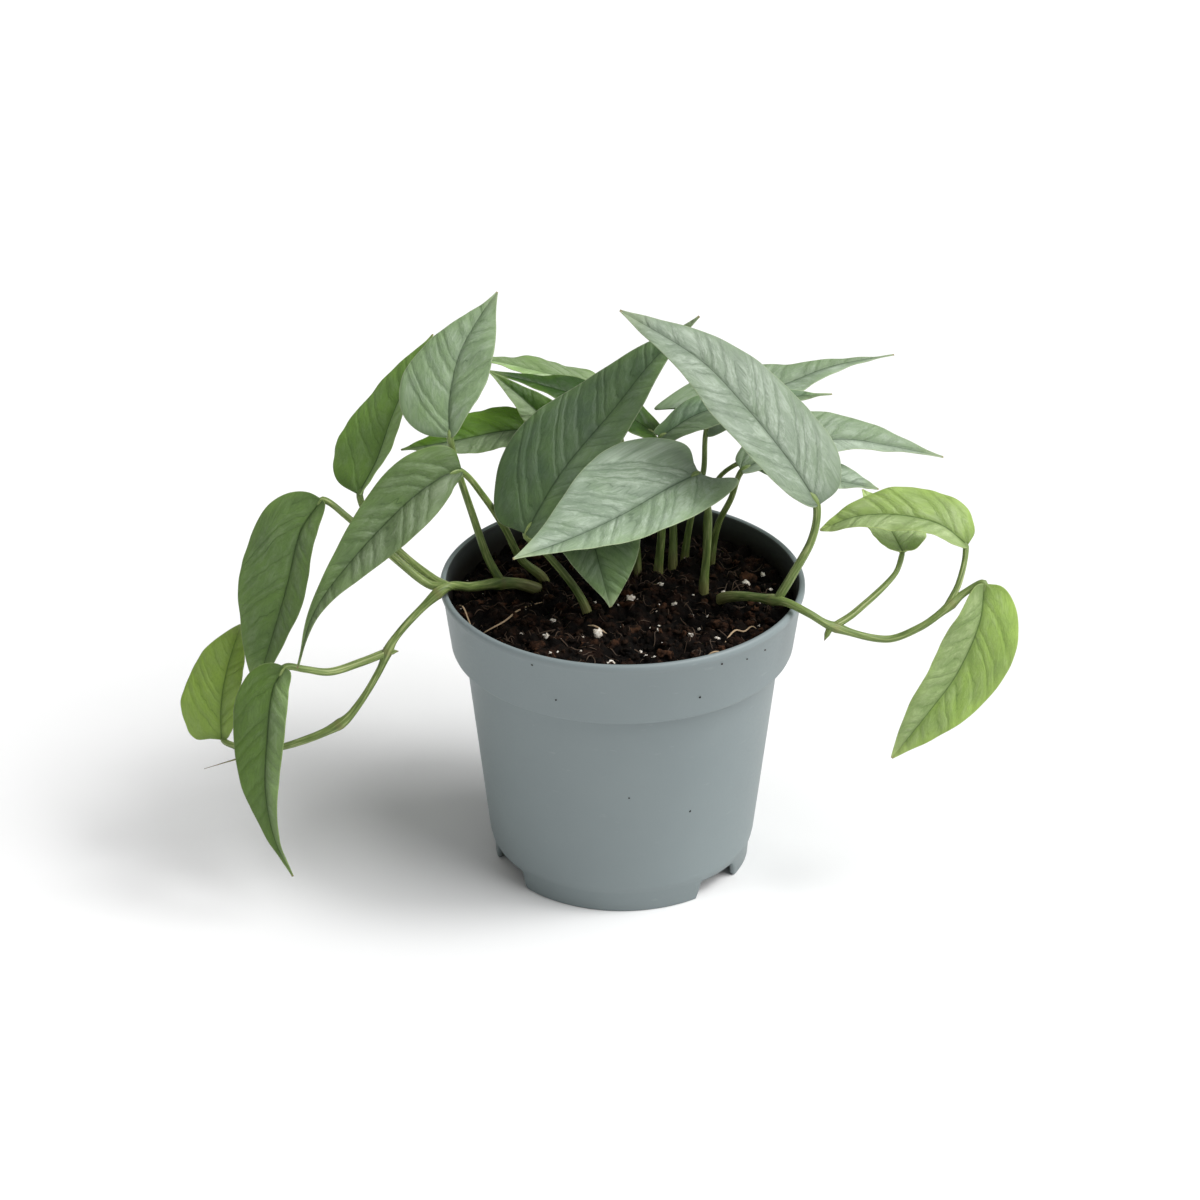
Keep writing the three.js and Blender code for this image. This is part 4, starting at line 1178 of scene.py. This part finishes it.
PERLITE_SEEN = [
    (12.5, 11.4, 1.3), (2.8, 0, 1.3), (-22.4, -11.2, 1.1), (-24.6, -23.6, 1.0), (-17.1, -20.1, 0.9),
    (-8.0, -24.9, 1.4), (-3.9, -41.8, 1.1), (-4.6, -42.4, 0.9), (22.0, -24, 1.0), (30.5, -26, 0.8),
    (41, 13, 1.1), (33.5, 4, 1.0), (17.0, -3, 0.8), (47, 20, 0.9), (-33, -21, 0.7), (10, -35, 0.9),
]  # x and y in mm, and size
PERLITE_STREWN = 75  # smaller bits, besides those seen in the photo


def build_perlite():
    draw = random.Random(5)
    ball, triangles = icosphere(2)
    places = [(x, y, size * 1.05) for x, y, size in PERLITE_SEEN]
    for _ in range(PERLITE_STREWN):
        x, y = scatter(draw, SOIL_RADIUS - 2)
        places.append((x, y, 0.28 + 0.5 * draw.random() ** 2))
    grains = []
    for x, y, size in places:
        grain = lump(draw, ball, size, 0.85, 0.7)
        grains.append(grain + np.array([x, y, soil_height(x, y) + size * 0.45]))
    s = Shader("perlite")
    grain = s.noise(s.position(), 1500.0, 4)
    s.surface(
        Base_Color=s.mix(s.span(grain, 0.35, 0.7), srgb(190, 178, 160), srgb(240, 236, 228)),
        Roughness=s.span(grain, 0.2, 0.8, 0.75, 0.95),
        Normal=s.bump(grain, 0.6, 0.0004),
    )
    grain_piece("perlite", grains, triangles, s.material)


def tube(points, radius, sides):
    """Rings of a thin round thread, in mm."""
    path = Path(points)
    count = max(4, int(path.length / 0.8))
    t = np.linspace(0, 1, count)
    centre, ahead = path.at(t), path.ahead(t)
    helper = np.where(np.abs(ahead[:, 2:3]) < 0.9, [[0, 0, 1.0]], [[1.0, 0, 0]])
    across = unit(np.cross(helper, ahead))
    over = np.cross(ahead, across)
    r = radius * (1 - 0.6 * np.abs(2 * t - 1) ** 3)
    angle = math.tau * np.arange(sides) / sides
    return swept(centre, across, over, angle, r[:, None])


def thread_piece(name, threads, sides, material):
    points, faces, offset = [], [], 0
    for path, radius in threads:
        rings = tube(path, radius, sides)
        count = rings.shape[0]
        faces += tube_faces(count, sides, offset)
        points.append(rings.reshape(-1, 3))
        offset += count * sides
    new_object(name, metres(np.vstack(points)), faces, [material])


ROOTS_SEEN = [
    [(-55.5, -0.7), (-52.5, -6), (-50.5, -11), (-48.8, -15.3)],
    [(-26, 1.5), (-28.8, 0), (-34.3, -7.7), (-38.7, -14.6), (-44.5, -17.4), (-47, -17)],
    [(32.6, -30.4), (34.5, -25.5), (36.8, -21.5), (39.5, -20), (42.1, -18.1), (44, -19)],
    [(-12, -17), (-9, -18.5), (-5, -18.6)],
    [(25, -37), (29, -36.5), (33, -33.6)],
]  # x and y in mm
ROOT_RADIUS = 0.3
PEAT_THREADS = 420


def fibre_material(name, dark, light):
    s = Shader(name)
    cloud = s.noise(s.position(), 500.0, 3)
    s.surface(Base_Color=s.mix(cloud, dark, light), Roughness=s.span(cloud, 0.0, 1.0, 0.55, 0.8))
    return s.material


def build_fibres():
    draw = random.Random(23)
    roots = []
    for places in ROOTS_SEEN:
        path = [(x, y, soil_height(x, y) + draw.uniform(0.6, 1.4)) for x, y in places]
        path[0] = (*places[0], soil_height(*places[0]) - 0.6)
        path[-1] = (*places[-1], soil_height(*places[-1]) - 0.6)
        roots.append((path, ROOT_RADIUS))
    pale = fibre_material("pale_root", srgb(150, 122, 92), srgb(206, 182, 148))
    thread_piece("pale_roots", roots, 8, pale)
    threads = []
    for _ in range(PEAT_THREADS):
        x, y = scatter(draw, SOIL_RADIUS - 4)
        heading = draw.uniform(0, math.tau)
        length = draw.uniform(2.0, 7.0)
        path = []
        for _ in range(4):
            path.append((x, y, soil_height(x, y) + draw.uniform(0.0, 0.9)))
            x += length / 3 * math.cos(heading)
            y += length / 3 * math.sin(heading)
            heading += draw.uniform(-0.8, 0.8)
        if max(math.hypot(p[0], p[1]) for p in path) < SOIL_RADIUS - 0.5:
            threads.append((path, draw.uniform(0.1, 0.22)))
    peat = fibre_material("peat_fibre", srgb(36, 25, 17), srgb(90, 68, 48))
    thread_piece("peat_fibres", threads, 5, peat)


SPECKS = [
    (-87.6, 47.1), (-62.5, 38.4), (-119.4, 97.9), (-57.8, 97.4), (-47.6, 95.6), (-39.0, 95.4),
    (-64.8, 86.5), (-111.9, 86.2), (34.0, 90.5), (120.0, 60.0), (171.0, 92.0), (75.0, 33.0),
]  # degrees round from +X, and height in mm, of grit stuck to the pot's side


def wall_radius(height):
    radii, heights = zip(*POT_OUTSIDE)
    return float(np.interp(height, heights, radii))


def build_specks():
    draw = random.Random(3)
    ball, triangles = icosphere(1)
    grains = []
    for angle, height in SPECKS:
        a = math.radians(angle)
        radius = wall_radius(height)
        grain = lump(draw, ball, draw.uniform(0.28, 0.42), 0.9, 0.5)
        grains.append(grain + np.array([radius * math.cos(a), radius * math.sin(a), height]))
    material = soil_material("grit", srgb(30, 24, 20), srgb(60, 46, 36), 0.4)
    grain_piece("pot_grit", grains, triangles, material)


# ---- stage
CAMERA_PLACE = (-7.4, -1152.2, 704.1)  # mm from the pot's axis
CAMERA_PITCH = 27.9  # degrees down
CAMERA_LENS = 118.65  # mm, on a 36 mm sensor
FLOOR_SIZE = 6.0  # metres each way from the middle
FLOOR_GAP = 0.00005  # metres that it lies below the pot's foot
FILL_LIGHT = 0.34
# heading round from +X and height above the floor in degrees, spread in degrees, strength
LAMPS = {
    "softbox": (-16, 50, 56, 2.8),
    "lamp": (-8, 56, 16, 0.8),
}


def build_stage():
    camera_data = bpy.data.cameras.new("camera")
    camera_data.lens = CAMERA_LENS
    camera_data.sensor_width = 36
    camera_data.clip_end = 20
    camera = bpy.data.objects.new("camera", camera_data)
    camera.location = metres(CAMERA_PLACE)
    camera.rotation_euler = (math.radians(90 - CAMERA_PITCH), 0, 0)
    bpy.context.scene.collection.objects.link(camera)
    bpy.context.scene.camera = camera

    corners = [(x * FLOOR_SIZE, y * FLOOR_SIZE, 0) for x, y in ((-1, -1), (1, -1), (1, 1), (-1, 1))]
    mesh = bpy.data.meshes.new("floor")
    mesh.from_pydata(corners, [], [(0, 1, 2, 3)])
    floor = bpy.data.objects.new("floor", mesh)
    floor.location.z = AXIS[2] - FLOOR_GAP
    bpy.context.scene.collection.objects.link(floor)
    s = Shader("floor")
    s.surface(Base_Color=(0.9, 0.9, 0.9), Roughness=0.9, Specular_IOR_Level=0.1)
    mesh.materials.append(s.material)

    world = bpy.data.worlds.new("studio")
    world.use_nodes = True
    background = world.node_tree.nodes["Background"]
    background.inputs[0].default_value = (1, 1, 1, 1)
    background.inputs[1].default_value = FILL_LIGHT
    bpy.context.scene.world = world
    for name, (heading, height, spread, strength) in LAMPS.items():
        data = bpy.data.lights.new(name, "SUN")
        data.angle = math.radians(spread)
        data.energy = strength
        lamp = bpy.data.objects.new(name, data)
        lamp.rotation_euler = (math.radians(90 - height), 0, math.radians(90 + heading))
        bpy.context.scene.collection.objects.link(lamp)
    view = bpy.context.scene.view_settings
    view.view_transform = "Standard"
    view.look = "None"


# ---- the plant
stem_green = stem_material()
for node, names in RUNNERS.items():
    stem_piece(node, names, stem_green)
in_runners = {name for names in RUNNERS.values() for name in names}
for name in STEMS:
    if name not in in_runners:
        stem_piece(name, [name], stem_green)
leaf_sides = {}
for slot, look in LEAF_LOOKS.items():
    leaf_sides[slot] = [leaf_upper(slot, look), leaf_under(slot, look)]
for number, (name, leaf) in enumerate(LEAVES.items()):
    leaf_mesh(name, leaf, leaf_sides[leaf.get("slot", "leaf_silver")], number)
drill_drains(build_pot())
build_soil()
build_crumbs()
build_perlite()
build_fibres()
build_specks()
build_stage()
